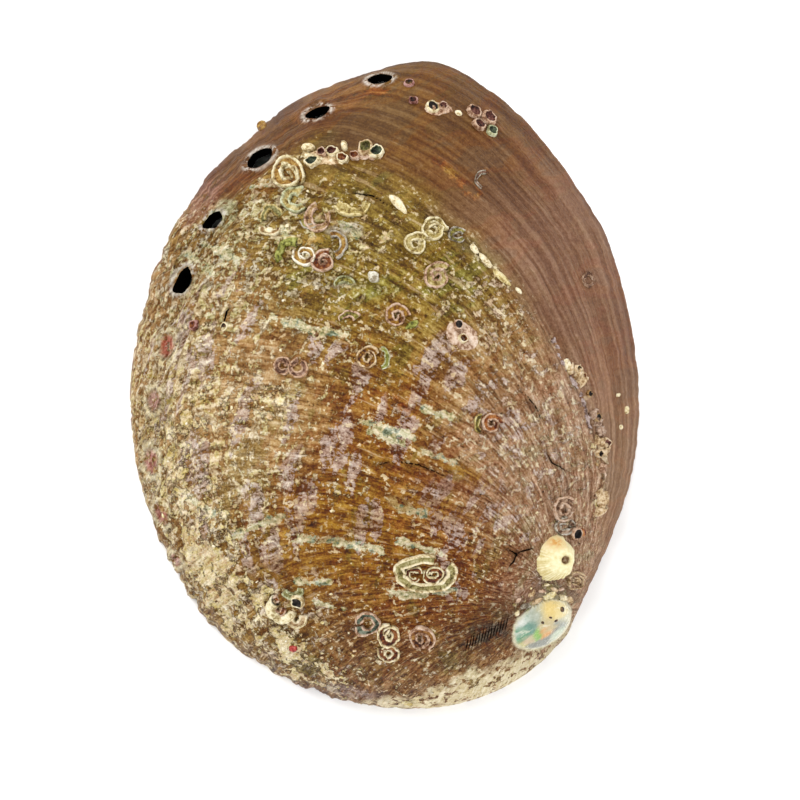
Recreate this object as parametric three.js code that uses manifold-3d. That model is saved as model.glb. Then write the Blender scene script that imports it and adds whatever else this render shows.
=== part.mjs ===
// An abalone shell lying on its open side, with the worm tubes and the barnacle that grew on it.
// Millimetres, +Z up, +Y towards the newest growth. The rim stands on z = 0.
import * as THREE from 'three';
import { mergeVertices } from 'three/addons/utils/BufferGeometryUtils.js';
import Module from 'manifold-3d';

const wasm = await Module();
wasm.setup();

// Driving dimensions in millimetres
const SHELL_LENGTH = 120;
const SHELL_HEIGHT = 31;
const WALL = 2.6;
const LIP_WIDTH = 1.8;
const SHELF_WIDTH = 6.5;
const BARNACLE_RADIUS = 3.6;
const BARNACLE_HEIGHT = 2.9;
const PIECE_GAP = 0.3;

// The plan is laid out in pixels of an 800 by 800 picture taken from above
const PLAN_LENGTH = 647;
const PLAN_CENTRE = [384.5, 384.5];
const SCALE = SHELL_LENGTH / PLAN_LENGTH;
const PEAK = plan(375, 430);
const POLE = plan(545, 610);

// The rim seen from above, anticlockwise from the right
const OUTLINE = [
  [639, 390], [628, 311], [604, 231], [555, 156], [511, 107], [453, 68], [423, 61], [352, 78], [292, 104],
  [243, 143], [200, 185], [178, 220], [149, 285], [133, 364], [131, 417], [144, 497], [177, 577], [213, 627],
  [262, 666], [320, 694], [385, 707], [452, 705], [515, 681], [565, 638], [580, 606], [606, 550], [633, 471],
];

// The dome: how fast it falls to the rim, gentle towards the newest growth and steep on the far side
const FALL = { mean: 1.45, swing: 0.35, towards: 50 };
const SPREAD = { mean: 0.92, swing: 0.08, towards: 50 };
const ROW_STEEPNESS = { size: 0.4, towards: 100, width: 35 };
const SHELF_TOWARDS = 205;
const HOLLOW_DIP = 0.6;
const RELIEF_ENDS = { from: 0.93, to: 0.995 };

// Growth is a spiral about the pole: a turn of one radian shrinks the lip by this exponent
const GROWTH_RATE = 0.361;
const SUTURE_ANGLE = THREE.MathUtils.degToRad(15);
const ROW_ANGLE = THREE.MathUtils.degToRad(107.3);
const WALL_RATE = 0.1;
const OLDEST = 5;
const AGE_STEP = 0.01;
const FOLDS = { turn: 0.15, height: 0.32, newest: 0.4, start: 8, full: 40 };
const GROWTH_STEP = { age: 0.27, height: 0.6, sharpness: 0.02, fading: 0.5 };
const ROW_RIDGE = { height: 0.8, width: 3.2, rise: [-0.05, 0.2], end: [1.2, 1.8] };

// Breathing holes: place, length and width in pixels, and the direction they are drawn out in degrees
const OPEN_HOLES = [
  { at: [380, 81], size: [26, 13], turn: 8 },
  { at: [318, 114], size: [24, 13], turn: 20 },
  { at: [261, 160], size: [27, 17], turn: 33 },
  { at: [214, 222], size: [24, 16], turn: 45 },
  { at: [184, 281], size: [28, 17], turn: 68 },
];
const FILLED_HOLES = [
  { at: [169, 347], size: [26, 18], turn: 78 },
  { at: [156, 400], size: [24, 17], turn: 88 },
  { at: [154, 460], size: [24, 16], turn: 95 },
  { at: [163, 512], size: [22, 15], turn: 104 },
  { at: [178, 560], size: [20, 14], turn: 113 },
];
const HOLE_COLLAR = 0.95;
const COLLAR_SINK = 0.1;
const HOLE_DEPTH = 16;
const HOLE_LEAN = 0.8;

// The spire, an egg-shaped knob at the pole: place, half axes in millimetres and direction in degrees
const SPIRE = { at: [534, 621], radii: [6.4, 4.8, 3.4], turn: 32, sink: 1.1, lean: 0.8 };

// Coiled worm tubes: place and width over all in pixels, and the tube's thickness in millimetres
const WORM_TUBES = [
  { at: [411, 568], across: 36, tube: 1.3 }, { at: [440, 569], across: 34, tube: 1.3 },
  { at: [285, 603], across: 40, tube: 1.7 }, { at: [388, 632], across: 27, tube: 1.4 },
  { at: [420, 634], across: 31, tube: 1.4 }, { at: [458, 338], across: 34, tube: 1.9 },
  { at: [438, 278], across: 31, tube: 1.5 }, { at: [431, 235], across: 26, tube: 1.3 },
  { at: [330, 155], across: 34, tube: 1.6 }, { at: [367, 155], across: 27, tube: 1.4 },
  { at: [288, 178], across: 32, tube: 1.4 }, { at: [322, 220], across: 32, tube: 1.3 },
  { at: [300, 250], across: 32, tube: 1.5 }, { at: [326, 258], across: 30, tube: 1.5 },
  { at: [482, 122], across: 29, tube: 1.6 }, { at: [433, 108], across: 25, tube: 1.4 },
  { at: [372, 357], across: 27, tube: 1.3 }, { at: [563, 515], across: 31, tube: 1.6 },
  { at: [597, 420], across: 24, tube: 1.4 }, { at: [602, 448], across: 24, tube: 1.4 },
];
const TUBE_SINK = 0.25;
const TUBE_FLATNESS = 0.85;
const TUBE_TURN = 40;

// Crust and lumps: place in pixels, radius and height in millimetres
const LUMPS = [
  { at: [222, 560], radius: 7, height: 0.9 }, { at: [205, 525], radius: 4, height: 0.6 },
  { at: [265, 640], radius: 4, height: 0.7 }, { at: [330, 660], radius: 4, height: 0.5 },
  { at: [245, 590], radius: 4, height: 0.6 }, { at: [318, 165], radius: 6, height: 0.5 },
  { at: [312, 252], radius: 6, height: 0.5 }, { at: [285, 405], radius: 6, height: 0.4 },
  { at: [585, 400], radius: 3, height: 0.5 }, { at: [600, 470], radius: 3, height: 0.5 },
];
const LUMP_FADE = 2;

// The rim is fluted along the lower left
const FLUTES = { depth: 1.2, count: 54, from: 195, to: 285, fade: 20, top: 0.8, bottom: 0.97 };

// The barnacle: its place in pixels, and its half section as shares of its radius and height
const BARNACLE_AT = [551, 557];
const BARNACLE_RIBS = 12;
const RIB_DEPTH = 0.05;
const SEAT_DEPTH = 8;
const BARNACLE_SECTION = [
  [0, 0], [1, 0], [0.93, 0.16], [0.68, 0.6], [0.42, 0.93], [0.32, 1], [0.24, 0.93], [0.2, 0.55], [0, 0.5],
];

// How fine the nets of the outside and the hollow are
const OUTER_CELLS = 42;
const INNER_CELLS = 18;

const SHELL_FINISH = { color: 0x7d6440, roughness: 0.7, metalness: 0 };
const BARNACLE_FINISH = { color: 0xe9dca6, roughness: 0.75, metalness: 0 };

const UP = new THREE.Vector3(0, 0, 1);

function plan(px, py) {
  return new THREE.Vector2((px - PLAN_CENTRE[0]) * SCALE, (PLAN_CENTRE[1] - py) * SCALE);
}

// A closed curve through the outline's points, as its radius at each angle about a centre
function radiusAbout(centre) {
  const knots = OUTLINE.map(([px, py]) => new THREE.Vector3(plan(px, py).x, plan(px, py).y, 0));
  const samples = new THREE.CatmullRomCurve3(knots, true, 'centripetal').getSpacedPoints(900);
  const polar = samples.slice(1).map((p) => {
    const dx = p.x - centre.x;
    const dy = p.y - centre.y;
    return { angle: positiveAngle(Math.atan2(dy, dx)), radius: Math.hypot(dx, dy) };
  });
  polar.sort((a, b) => a.angle - b.angle);
  return (angle) => lookUp(polar, positiveAngle(angle));
}

function positiveAngle(angle) {
  return THREE.MathUtils.euclideanModulo(angle, 2 * Math.PI);
}

// The radius at an angle, between the two nearest samples
function lookUp(polar, angle) {
  const next = polar.findIndex((sample) => sample.angle > angle);
  const high = polar[Math.max(next, 0)];
  const low = polar.at(next > 0 ? next - 1 : -1);
  const span = positiveAngle(high.angle - low.angle);
  const share = span > 0 ? positiveAngle(angle - low.angle) / span : 0;
  return THREE.MathUtils.lerp(low.radius, high.radius, share);
}

const rimFromPeak = radiusAbout(PEAK);
const rimFromPole = radiusAbout(POLE);

function swing({ mean, swing: size, towards }, angle) {
  return mean + size * Math.cos(angle - THREE.MathUtils.degToRad(towards));
}

// The wall is steeper below the newest holes
function fall(angle) {
  const degrees = THREE.MathUtils.radToDeg(positiveAngle(angle));
  const away = (degrees - ROW_STEEPNESS.towards) / ROW_STEEPNESS.width;
  return swing(FALL, angle) - ROW_STEEPNESS.size * Math.exp(-away * away);
}

// The outside: a superellipse from the peak down to the rim in every direction
const OUTSIDE = {
  radius: rimFromPeak,
  height: SHELL_HEIGHT,
  base: 0,
};

// The hollow, which leaves a thin lip on one side and a broad shelf on the other
const HOLLOW = {
  radius: (angle) => rimFromPeak(angle) - rimWidth(angle),
  height: SHELL_HEIGHT - WALL + HOLLOW_DIP,
  base: -HOLLOW_DIP,
};

function rimWidth(angle) {
  const facing = Math.cos(angle - THREE.MathUtils.degToRad(SHELF_TOWARDS));
  return LIP_WIDTH + (SHELF_WIDTH - LIP_WIDTH) * THREE.MathUtils.smoothstep(facing, 0.1, 0.9);
}

function domeHeight(dome, x, y) {
  const dx = x - PEAK.x;
  const dy = y - PEAK.y;
  const angle = Math.atan2(dy, dx);
  const reach = Math.min(1, Math.hypot(dx, dy) / dome.radius(angle));
  const turn = Math.asin(reach ** (1 / swing(SPREAD, angle)));
  return dome.base + dome.height * Math.cos(turn) ** fall(angle);
}

function domeNormal(x, y) {
  const step = 0.4;
  const inward = 0.985;
  const px = PEAK.x + (x - PEAK.x) * inward;
  const py = PEAK.y + (y - PEAK.y) * inward;
  const slopeX = (domeHeight(OUTSIDE, px + step, py) - domeHeight(OUTSIDE, px - step, py)) / (2 * step);
  const slopeY = (domeHeight(OUTSIDE, px, py + step) - domeHeight(OUTSIDE, px, py - step)) / (2 * step);
  return new THREE.Vector3(-slopeX, -slopeY, 1).normalize();
}

// The lip's radius about the pole: the rim as far as the hole row, and past it the wall below the row
function lipRadius(angle) {
  if (angle <= ROW_ANGLE) return rimFromPole(Math.max(angle, SUTURE_ANGLE));
  return rimFromPole(ROW_ANGLE) * Math.exp(-WALL_RATE * (angle - ROW_ANGLE));
}

// How many radians of growth ago the lip stood at a point
function growthAge(x, y) {
  const dx = x - POLE.x;
  const dy = y - POLE.y;
  const distance = Math.log(Math.max(Math.hypot(dx, dy), 0.1));
  const angle = SUTURE_ANGLE + positiveAngle(Math.atan2(dy, dx) - SUTURE_ANGLE);
  for (let age = 0; age < OLDEST; age += AGE_STEP) {
    if (distance + GROWTH_RATE * age >= Math.log(lipRadius(angle - age))) return age;
  }
  return OLDEST;
}

// A ridge along the hole row, which is the same spiral
function rowRidge(x, y) {
  const dx = x - POLE.x;
  const dy = y - POLE.y;
  const angle = SUTURE_ANGLE + positiveAngle(Math.atan2(dy, dx) - SUTURE_ANGLE);
  const firstHole = plan(...OPEN_HOLES[0].at).distanceTo(POLE);
  const row = firstHole * Math.exp(-GROWTH_RATE * (angle - ROW_ANGLE));
  const away = (Math.hypot(dx, dy) - row) / ROW_RIDGE.width;
  const fade = THREE.MathUtils.smoothstep(angle - ROW_ANGLE, ...ROW_RIDGE.rise)
    * (1 - THREE.MathUtils.smoothstep(angle - ROW_ANGLE, ...ROW_RIDGE.end));
  return ROW_RIDGE.height * fade * Math.exp(-away * away);
}

// Broad growth folds, with the step where the newest growth begins
function growthFolds(x, y) {
  const age = growthAge(x, y);
  const since = age - GROWTH_STEP.age;
  const size = THREE.MathUtils.smoothstep(Math.hypot(x - POLE.x, y - POLE.y), FOLDS.start, FOLDS.full);
  const wave = Math.sin(2 * Math.PI * age / FOLDS.turn);
  const older = THREE.MathUtils.smoothstep(since, -GROWTH_STEP.sharpness, GROWTH_STEP.sharpness);
  const fading = 1 - THREE.MathUtils.smoothstep(since, 0, GROWTH_STEP.fading);
  const folds = size * FOLDS.height * wave * THREE.MathUtils.lerp(FOLDS.newest, 1, older);
  return folds + GROWTH_STEP.height * older * fading;
}

function lumpRelief(x, y) {
  return LUMPS.reduce((sum, lump) => {
    const away = plan(...lump.at).distanceTo({ x, y }) / lump.radius;
    return sum + lump.height * Math.exp(-LUMP_FADE * away * away);
  }, 0);
}

function flute(angle) {
  const degrees = THREE.MathUtils.radToDeg(positiveAngle(angle));
  const inside = THREE.MathUtils.smoothstep(degrees, FLUTES.from, FLUTES.from + FLUTES.fade)
    * (1 - THREE.MathUtils.smoothstep(degrees, FLUTES.to - FLUTES.fade, FLUTES.to));
  return FLUTES.depth * inside * (Math.cos(FLUTES.count * angle) - 1) / 2;
}

// A point of the unit square moved onto the unit disc, rings of squares becoming rings of circles
function onDisc(u, v) {
  const reach = Math.max(Math.abs(u), Math.abs(v));
  if (reach === 0) return { reach, angle: 0 };
  const quarter = Math.PI / 4;
  if (Math.abs(u) >= Math.abs(v)) return { reach, angle: quarter * (v / u) + (u < 0 ? Math.PI : 0) };
  return { reach, angle: 2 * quarter - quarter * (u / v) + (v < 0 ? Math.PI : 0) };
}

// A closed solid over the dome: a square net moved onto it, and a fan of faces across the bottom
function domeSolid(dome, cells, shapePoint) {
  const net = new THREE.PlaneGeometry(2, 2, cells, cells);
  const place = net.attributes.position;
  const edge = [];
  for (let i = 0; i < place.count; i += 1) {
    const { reach, angle } = onDisc(place.getX(i), place.getY(i));
    const share = Math.sin(reach * Math.PI / 2) ** swing(SPREAD, angle);
    const point = shapePoint(dome, angle, share);
    place.setXYZ(i, point.x, point.y, point.z);
    if (reach > 1 - 1e-9) edge.push({ i, angle: positiveAngle(angle) });
  }
  edge.sort((a, b) => a.angle - b.angle);
  const centre = place.count;
  const fan = edge.flatMap(({ i }, n) => [centre, edge[(n + 1) % edge.length].i, i]);
  const solid = new THREE.BufferGeometry();
  const positions = [...place.array, PEAK.x, PEAK.y, dome.base];
  solid.setAttribute('position', new THREE.Float32BufferAttribute(positions, 3));
  solid.setIndex([...netFaces(cells), ...fan]);
  return toManifold(solid);
}

// Two faces for each cell of the net, parted along the line that points to the net's middle
function netFaces(cells) {
  const faces = [];
  for (let row = 0; row < cells; row += 1) {
    for (let column = 0; column < cells; column += 1) {
      const a = row * (cells + 1) + column;
      const b = a + cells + 1;
      const sameSide = (row < cells / 2) === (column < cells / 2);
      if (sameSide) faces.push(a, b, b + 1, a, b + 1, a + 1);
      else faces.push(a, b, a + 1, b, b + 1, a + 1);
    }
  }
  return faces;
}

function bareDomePoint(dome, angle, share) {
  const radius = dome.radius(angle) * share;
  const x = PEAK.x + radius * Math.cos(angle);
  const y = PEAK.y + radius * Math.sin(angle);
  return new THREE.Vector3(x, y, share > 1 - 1e-9 ? dome.base : domeHeight(dome, x, y));
}

// How far the surface stands off the bare dome, which dies away just above the rim
function relief(x, y) {
  const reach = Math.hypot(x - PEAK.x, y - PEAK.y) / rimFromPeak(Math.atan2(y - PEAK.y, x - PEAK.x));
  const fade = 1 - THREE.MathUtils.smoothstep(reach, RELIEF_ENDS.from, RELIEF_ENDS.to);
  return fade * (growthFolds(x, y) + rowRidge(x, y) + lumpRelief(x, y));
}

function outsidePoint(dome, angle, share) {
  const point = bareDomePoint(dome, angle, share);
  const out = flute(angle) * THREE.MathUtils.smoothstep(share, FLUTES.top, FLUTES.bottom);
  point.addScaledVector(domeNormal(point.x, point.y), relief(point.x, point.y));
  point.x += out * Math.cos(angle);
  point.y += out * Math.sin(angle);
  return point;
}

function toManifold(geometry) {
  const bare = geometry.clone();
  bare.deleteAttribute('normal');
  bare.deleteAttribute('uv');
  const closed = mergeVertices(bare, 1e-4);
  return new wasm.Manifold(new wasm.Mesh({
    numProp: 3,
    vertProperties: new Float32Array(closed.attributes.position.array),
    triVerts: new Uint32Array(closed.index.array),
  }));
}

function toGeometry(solid) {
  const { vertProperties, triVerts } = solid.getMesh();
  const geometry = new THREE.BufferGeometry();
  geometry.setAttribute('position', new THREE.BufferAttribute(vertProperties, 3));
  geometry.setIndex(new THREE.BufferAttribute(triVerts, 1));
  geometry.computeVertexNormals();
  return geometry;
}

// Stands a geometry made about the origin on the shell, its Z axis leaning with the surface
function standOn([px, py], sink, turn = 0, lean = 1) {
  const { x, y } = plan(px, py);
  const normal = domeNormal(x, y);
  const axis = normal.clone().lerp(UP, 1 - lean).normalize();
  const tilt = new THREE.Quaternion().setFromUnitVectors(UP, axis);
  const spin = new THREE.Quaternion().setFromAxisAngle(UP, THREE.MathUtils.degToRad(turn));
  const place = new THREE.Vector3(x, y, domeHeight(OUTSIDE, x, y));
  place.addScaledVector(normal, relief(x, y) - sink);
  return new THREE.Matrix4().compose(place, tilt.multiply(spin), new THREE.Vector3(1, 1, 1));
}

function holeCollar({ at, size, turn }) {
  const [long, short] = size.map((pixels) => pixels * SCALE / 2);
  const ring = new THREE.TorusGeometry(1, HOLE_COLLAR / short, 5, 10);
  ring.scale(long + HOLE_COLLAR / 2, short + HOLE_COLLAR / 2, short);
  return toManifold(ring.applyMatrix4(standOn(at, COLLAR_SINK, turn)));
}

function holeCutter({ at, size, turn }) {
  const [long, short] = size.map((pixels) => pixels * SCALE / 2);
  const bore = new THREE.CylinderGeometry(1, 1, HOLE_DEPTH, 12).rotateX(Math.PI / 2).scale(long, short, 1);
  return toManifold(bore.applyMatrix4(standOn(at, 0, turn, HOLE_LEAN)));
}

function wormTube({ at, across, tube }, n) {
  const outer = across * SCALE / 2;
  const coil = new THREE.TorusGeometry(outer - tube / 2, tube / 2, 4, 8).scale(1, TUBE_FLATNESS, 1);
  return toManifold(coil.applyMatrix4(standOn(at, TUBE_SINK, TUBE_TURN * n)));
}

function spireKnob() {
  const knob = new THREE.SphereGeometry(1, 14, 8).rotateX(Math.PI / 2).scale(...SPIRE.radii);
  return toManifold(knob.applyMatrix4(standOn(SPIRE.at, SPIRE.sink, SPIRE.turn, SPIRE.lean)));
}

// The flat place under the barnacle, wide enough to leave a gap round it
function barnacleSeat() {
  const radius = BARNACLE_RADIUS * (1 + 2 * RIB_DEPTH) + PIECE_GAP;
  const disc = new THREE.CylinderGeometry(radius, radius, SEAT_DEPTH, 24).rotateX(Math.PI / 2);
  disc.translate(0, 0, SEAT_DEPTH / 2 - PIECE_GAP);
  return toManifold(disc.applyMatrix4(standOn(BARNACLE_AT, 0)));
}

function shellGeometry() {
  const grown = [spireKnob(), ...[...OPEN_HOLES, ...FILLED_HOLES].map(holeCollar), ...WORM_TUBES.map(wormTube)];
  let solid = domeSolid(OUTSIDE, OUTER_CELLS, outsidePoint);
  for (const piece of grown) solid = solid.add(piece);
  solid = solid.subtract(domeSolid(HOLLOW, INNER_CELLS, bareDomePoint));
  for (const cutter of OPEN_HOLES.map(holeCutter)) solid = solid.subtract(cutter);
  return toGeometry(solid.subtract(barnacleSeat()));
}

// A ribbed cone with a pit in its top
function barnacleGeometry() {
  const profile = BARNACLE_SECTION.map(([r, z]) => new THREE.Vector2(r * BARNACLE_RADIUS, z * BARNACLE_HEIGHT));
  const cone = new THREE.LatheGeometry(profile, 2 * BARNACLE_RIBS).rotateX(Math.PI / 2);
  const place = cone.attributes.position;
  for (let i = 0; i < place.count; i += 1) {
    const angle = Math.atan2(place.getY(i), place.getX(i));
    const rib = 1 + RIB_DEPTH * Math.cos(BARNACLE_RIBS * angle);
    place.setXY(i, place.getX(i) * rib, place.getY(i) * rib);
  }
  return toGeometry(toManifold(cone));
}

function namedMesh(name, geometry, finish) {
  const mesh = new THREE.Mesh(geometry, new THREE.MeshStandardMaterial(finish));
  mesh.name = name;
  return mesh;
}

const abalone = new THREE.Group();
const shell = namedMesh('shell', shellGeometry(), SHELL_FINISH);
const barnacle = namedMesh('barnacle', barnacleGeometry(), BARNACLE_FINISH);
standOn(BARNACLE_AT, 0).decompose(barnacle.position, barnacle.quaternion, barnacle.scale);
abalone.add(shell, barnacle);

export default abalone;
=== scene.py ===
"""An abalone shell lying on its open side: its fine surface, colours and growths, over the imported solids.

Lengths are millimetres until a mesh is made, and places on the shell are pixels of the picture from above.
"""
import math

import bpy
import numpy as np
from mathutils.kdtree import KDTree
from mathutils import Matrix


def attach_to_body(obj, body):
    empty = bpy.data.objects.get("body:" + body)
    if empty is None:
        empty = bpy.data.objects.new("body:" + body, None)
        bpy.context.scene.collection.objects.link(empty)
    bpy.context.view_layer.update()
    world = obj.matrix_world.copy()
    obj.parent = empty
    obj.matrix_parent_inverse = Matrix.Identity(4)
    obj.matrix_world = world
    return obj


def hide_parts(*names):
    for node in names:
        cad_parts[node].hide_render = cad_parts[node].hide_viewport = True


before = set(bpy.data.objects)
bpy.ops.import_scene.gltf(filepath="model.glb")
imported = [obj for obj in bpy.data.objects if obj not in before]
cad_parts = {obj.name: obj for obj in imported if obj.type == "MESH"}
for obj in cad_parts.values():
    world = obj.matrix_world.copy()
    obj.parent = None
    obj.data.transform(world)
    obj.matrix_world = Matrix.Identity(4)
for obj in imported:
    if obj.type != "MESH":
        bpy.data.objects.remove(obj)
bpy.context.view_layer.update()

MM = 0.001

# Driving dimensions
SHELL_LENGTH = 120.0
SHELL_HEIGHT = 31.0
WALL = 2.6
LIP_WIDTH = 1.8
SHELF_WIDTH = 6.5
BARNACLE_RADIUS = 4.32
BARNACLE_HEIGHT = 3.0

# The plan, in pixels of the picture
PICTURE = 800
PLAN_LENGTH = 647
PLAN_CENTRE = 384.5
SCALE = SHELL_LENGTH / PLAN_LENGTH

# The rim seen from above, anticlockwise from the right
OUTLINE = [
    (639, 390), (628, 311), (604, 231), (555, 156), (511, 107), (453, 68), (423, 61), (352, 78),
    (292, 104), (243, 143), (200, 185), (178, 220), (149, 285), (133, 364), (131, 417), (144, 497),
    (177, 577), (213, 627), (262, 666), (320, 694), (385, 707), (452, 705), (515, 681), (565, 638),
    (580, 606), (606, 550), (633, 471),
]
PEAK_AT = (375, 430)
POLE_AT = (545, 610)

# The dome: how fast it falls to the rim in each direction
DOME_TOWARDS = math.radians(50)
FALL_MEAN, FALL_SWING = 1.45, 0.35
SPREAD_MEAN, SPREAD_SWING = 0.92, 0.08
ROW_STEEPNESS, ROW_TOWARDS, ROW_WIDTH = 0.4, 100, 35
SHELF_TOWARDS = math.radians(205)

# Growth is a spiral about the pole
GROWTH_RATE = 0.361
SUTURE_ANGLE = math.radians(15)
ROW_ANGLE = math.radians(107.3)
WALL_RATE = 0.1
OLDEST = 5.0
AGE_STEP = 0.01

# The relief: heights and widths in millimetres, and the turn of growth in which a form repeats or fades
FOLD_HEIGHT, FOLD_TURN = 0.32, 0.15
LEDGE_HEIGHT, LEDGE_FADING = 0.6, 0.5
RIDGE_HEIGHT, RIDGE_WIDTH = 0.8, 3.2
CORD_HEIGHT, OLD_CORD_HEIGHT, CORD_TURN = 0.05, 0.2, 0.042
PAUSE_HEIGHT, OLD_PAUSE_HEIGHT, PAUSE_TURN = 0.07, 0.18, 0.055
DENT_HEIGHT, GRIT_HEIGHT, GRAIN_HEIGHT = 0.18, 0.12, 0.05
COLLAR_HEIGHT = 0.6
PLATE_HEIGHT = 0.38
CRACK_DEPTH = 0.5
SPIRE_HEIGHT, SPIRE_SINK, SPIRE_GROOVE = 1.9, 0.3, 0.3

# The rim: flutes along the lower left, and notches everywhere, deeper along the flutes and beside the holes
FLUTE_DEPTH, FLUTES = 0.35, 37
NOTCH_DEPTH, FLUTE_NOTCH_DEPTH, HOLE_NOTCH_DEPTH, NOTCHES = 0.15, 0.35, 0.3, 19

# How old the ledge before the newest growth is, at angles along the lip in degrees
LEDGE_ANGLES = (30, 44, 57, 70, 88, 104)
LEDGE_AGES = (0.07, 0.09, 0.2, 0.285, 0.325, 0.27)

# Breathing holes: place, length and width, and the direction they are drawn out in degrees
OPEN_HOLES = [
    ((380, 80), (25, 11), 8), ((318, 114), (26, 13), 20), ((261, 160), (29, 16), 33),
    ((214, 222), (24, 13), 38), ((184, 281), (29, 17), 62),
]
FILLED_HOLES = [
    ((169, 347), (30, 17), 80), ((156, 400), (24, 17), 80), ((153, 461), (28, 17), 98),
    ((163, 513), (26, 15), 110), ((177, 559), (16, 11), 115),
]
# How far a hole leans with the shell, and how far its cut reaches in and out
HOLE_LEAN, HOLE_DEPTH, HOLE_CLEARANCE = 0.9, 9, 6
SPIRE_AT, SPIRE_SIZE, SPIRE_TURN = (541, 623), (66, 44), 34

# Cracks: how wide their dip is in pixels, and the places each one runs through
CRACK_WIDTH = 2.2
CRACKS = [
    [(352, 196), (372, 199), (385, 207), (397, 214)], [(375, 463), (398, 460), (420, 464), (447, 476)],
    [(232, 308), (229, 318), (226, 327)], [(505, 545), (515, 552), (508, 566)], [(515, 552), (532, 546)],
    [(545, 453), (550, 462), (564, 470)], [(519, 392), (530, 402), (540, 420)],
]

# How fine the nets of the outside and the hollow are
OUTER_CELLS = 288
INNER_CELLS = 96
STITCH = OUTER_CELLS // INNER_CELLS

# The shell's materials after its outside, and how bent an edge is to look sharp
NACRE, HOLE_WALL = 1, 2
SHARP_BEND = math.radians(55)

# How much brighter the light is than the colours were picked for, so that the table stays white in the shade
LIGHT = 1.3


def hex_colour(code):
    """A colour written as on screen, as the share of the raised light that it sends back."""
    parts = [int(code[i:i + 2], 16) / 255 for i in (1, 3, 5)]
    linear = [c / 12.92 if c <= 0.04045 else ((c + 0.055) / 1.055) ** 2.4 for c in parts]
    return tuple(c / LIGHT for c in linear) + (1.0,)


CREAM = hex_colour("#eadab0")
PALE_CREAM = hex_colour("#f8f0d8")
YELLOW_CREAM = hex_colour("#dcc98c")
BUFF = hex_colour("#cfb288")
STRAW = hex_colour("#b9a462")
PALE_TAN = hex_colour("#bc9a68")
TAN = hex_colour("#a68250")
PINK_TAN = hex_colour("#c6a488")
PINK = hex_colour("#a5746a")
LILAC = hex_colour("#a8938c")
GREY = hex_colour("#a89e8c")
SEA_GREEN = hex_colour("#babb90")
TEAL = hex_colour("#8a9c84")
LEAF = hex_colour("#7f8030")
OLIVE = hex_colour("#7a6e24")
MOSS_BROWN = hex_colour("#866a30")
OCHRE = hex_colour("#9a7028")
ORANGE = hex_colour("#9c5820")
RUST = hex_colour("#86560a")
CHESTNUT = hex_colour("#824c12")
RED_BROWN = hex_colour("#74380e")
SAND = hex_colour("#a07c4c")
ROSE_SAND = hex_colour("#c29c7c")
GREY_SAND = hex_colour("#b0927a")
BROWN = hex_colour("#623f22")
GOLD_BROWN = hex_colour("#674619")
MAUVE_BROWN = hex_colour("#85604a")
SAND_BROWN = hex_colour("#967458")
GREY_BROWN = hex_colour("#684c30")
DARK_BROWN = hex_colour("#422606")
SLATE = hex_colour("#3c3a34")
HOLE_RIM = hex_colour("#c6bcae")
PEARL_RIM = hex_colour("#d6ceaa")
PEARL_SHADE = hex_colour("#6f7f72")
PEARL_GLINT = hex_colour("#f2edd2")
# The dark colours below are for the insides of cups and tube mouths, as painted shade of their cavities; the
# deep olive is also the floor of some coils.
CAVITY_SHADE = hex_colour("#1d1410")
DEEP_OLIVE = hex_colour("#77703c")
DEEP_GREEN = hex_colour("#2e3822")
DEEP_RED = hex_colour("#5a2c20")
WALL_CREAM = hex_colour("#e6d8ac")
CHANNEL = hex_colour("#9c9058")
DIM_TEAL = hex_colour("#66705c")
BARNACLE_CREAM = hex_colour("#efe5b4")
BARNACLE_FURROW_SHADE = hex_colour("#d8c484")
BARNACLE_PIT = hex_colour("#8c6a44")
BARNACLE_STAIN = hex_colour("#d08f22")
HOLE_SHADE = hex_colour("#0c0a08")
NACRE_SILVER = hex_colour("#d9d8d2")
NACRE_ROSE = hex_colour("#d8b8bd")
NACRE_GREEN = hex_colour("#a9c9b4")
NACRE_BLUE = hex_colour("#9fb4cc")
WHITE_LIME = hex_colour("#d6d0bc")
ROSE_LIME = hex_colour("#cbac92")
RED = hex_colour("#a8322a")


def smoothstep(value, low, high):
    """0 at low and 1 at high, with a soft change between them. Low may be the larger."""
    t = np.clip((value - low) / (high - low), 0, 1)
    return t * t * (3 - 2 * t)


def bell(value, middle, width):
    """1 at the middle, falling off softly on both sides."""
    return np.exp(-((value - middle) / width) ** 2)


def unit(vectors):
    return vectors / np.linalg.norm(vectors, axis=-1, keepdims=True)


def to_mm(places):
    """Places in the picture as x and y on the shell."""
    return (np.asarray(places, float) - PLAN_CENTRE) * (SCALE, -SCALE)


def to_picture(x, y):
    """The place in the picture of points of the shell."""
    return x / SCALE + PLAN_CENTRE, PLAN_CENTRE - y / SCALE


PEAK = to_mm(PEAK_AT)
POLE = to_mm(POLE_AT)


def closed_curve(points, steps=40):
    """A smooth closed curve through points, its knots spaced by the root of the distance."""
    before, start, end, after = (np.roll(points, shift, axis=0) for shift in (1, 0, -1, -2))
    first, middle, last = (
        np.sqrt(np.linalg.norm(b - a, axis=1, keepdims=True))
        for a, b in ((before, start), (start, end), (end, after))
    )
    along = (end - start) / middle
    leaving = middle * ((start - before) / first - (end - before) / (first + middle) + along)
    arriving = middle * (along - (after - start) / (middle + last) + (after - end) / last)
    t = np.linspace(0, 1, steps, endpoint=False)[None, :, None]
    blend = t * t * (3 - 2 * t)
    curve = start[:, None] * (1 - blend) + end[:, None] * blend
    curve += leaving[:, None] * t * (1 - t) ** 2 - arriving[:, None] * t * t * (1 - t)
    return curve.reshape(-1, 2)


RIM = closed_curve(to_mm(OUTLINE))


def radius_about(centre):
    """The rim's radius at each angle about a centre."""
    offset = RIM - centre
    angle = np.mod(np.arctan2(offset[:, 1], offset[:, 0]), 2 * np.pi)
    order = np.argsort(angle)
    radius = np.hypot(*offset.T)[order]
    return lambda asked: np.interp(asked, angle[order], radius, period=2 * np.pi)


rim_from_peak = radius_about(PEAK)
rim_from_pole = radius_about(POLE)


def spread(angle):
    return SPREAD_MEAN + SPREAD_SWING * np.cos(angle - DOME_TOWARDS)


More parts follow.
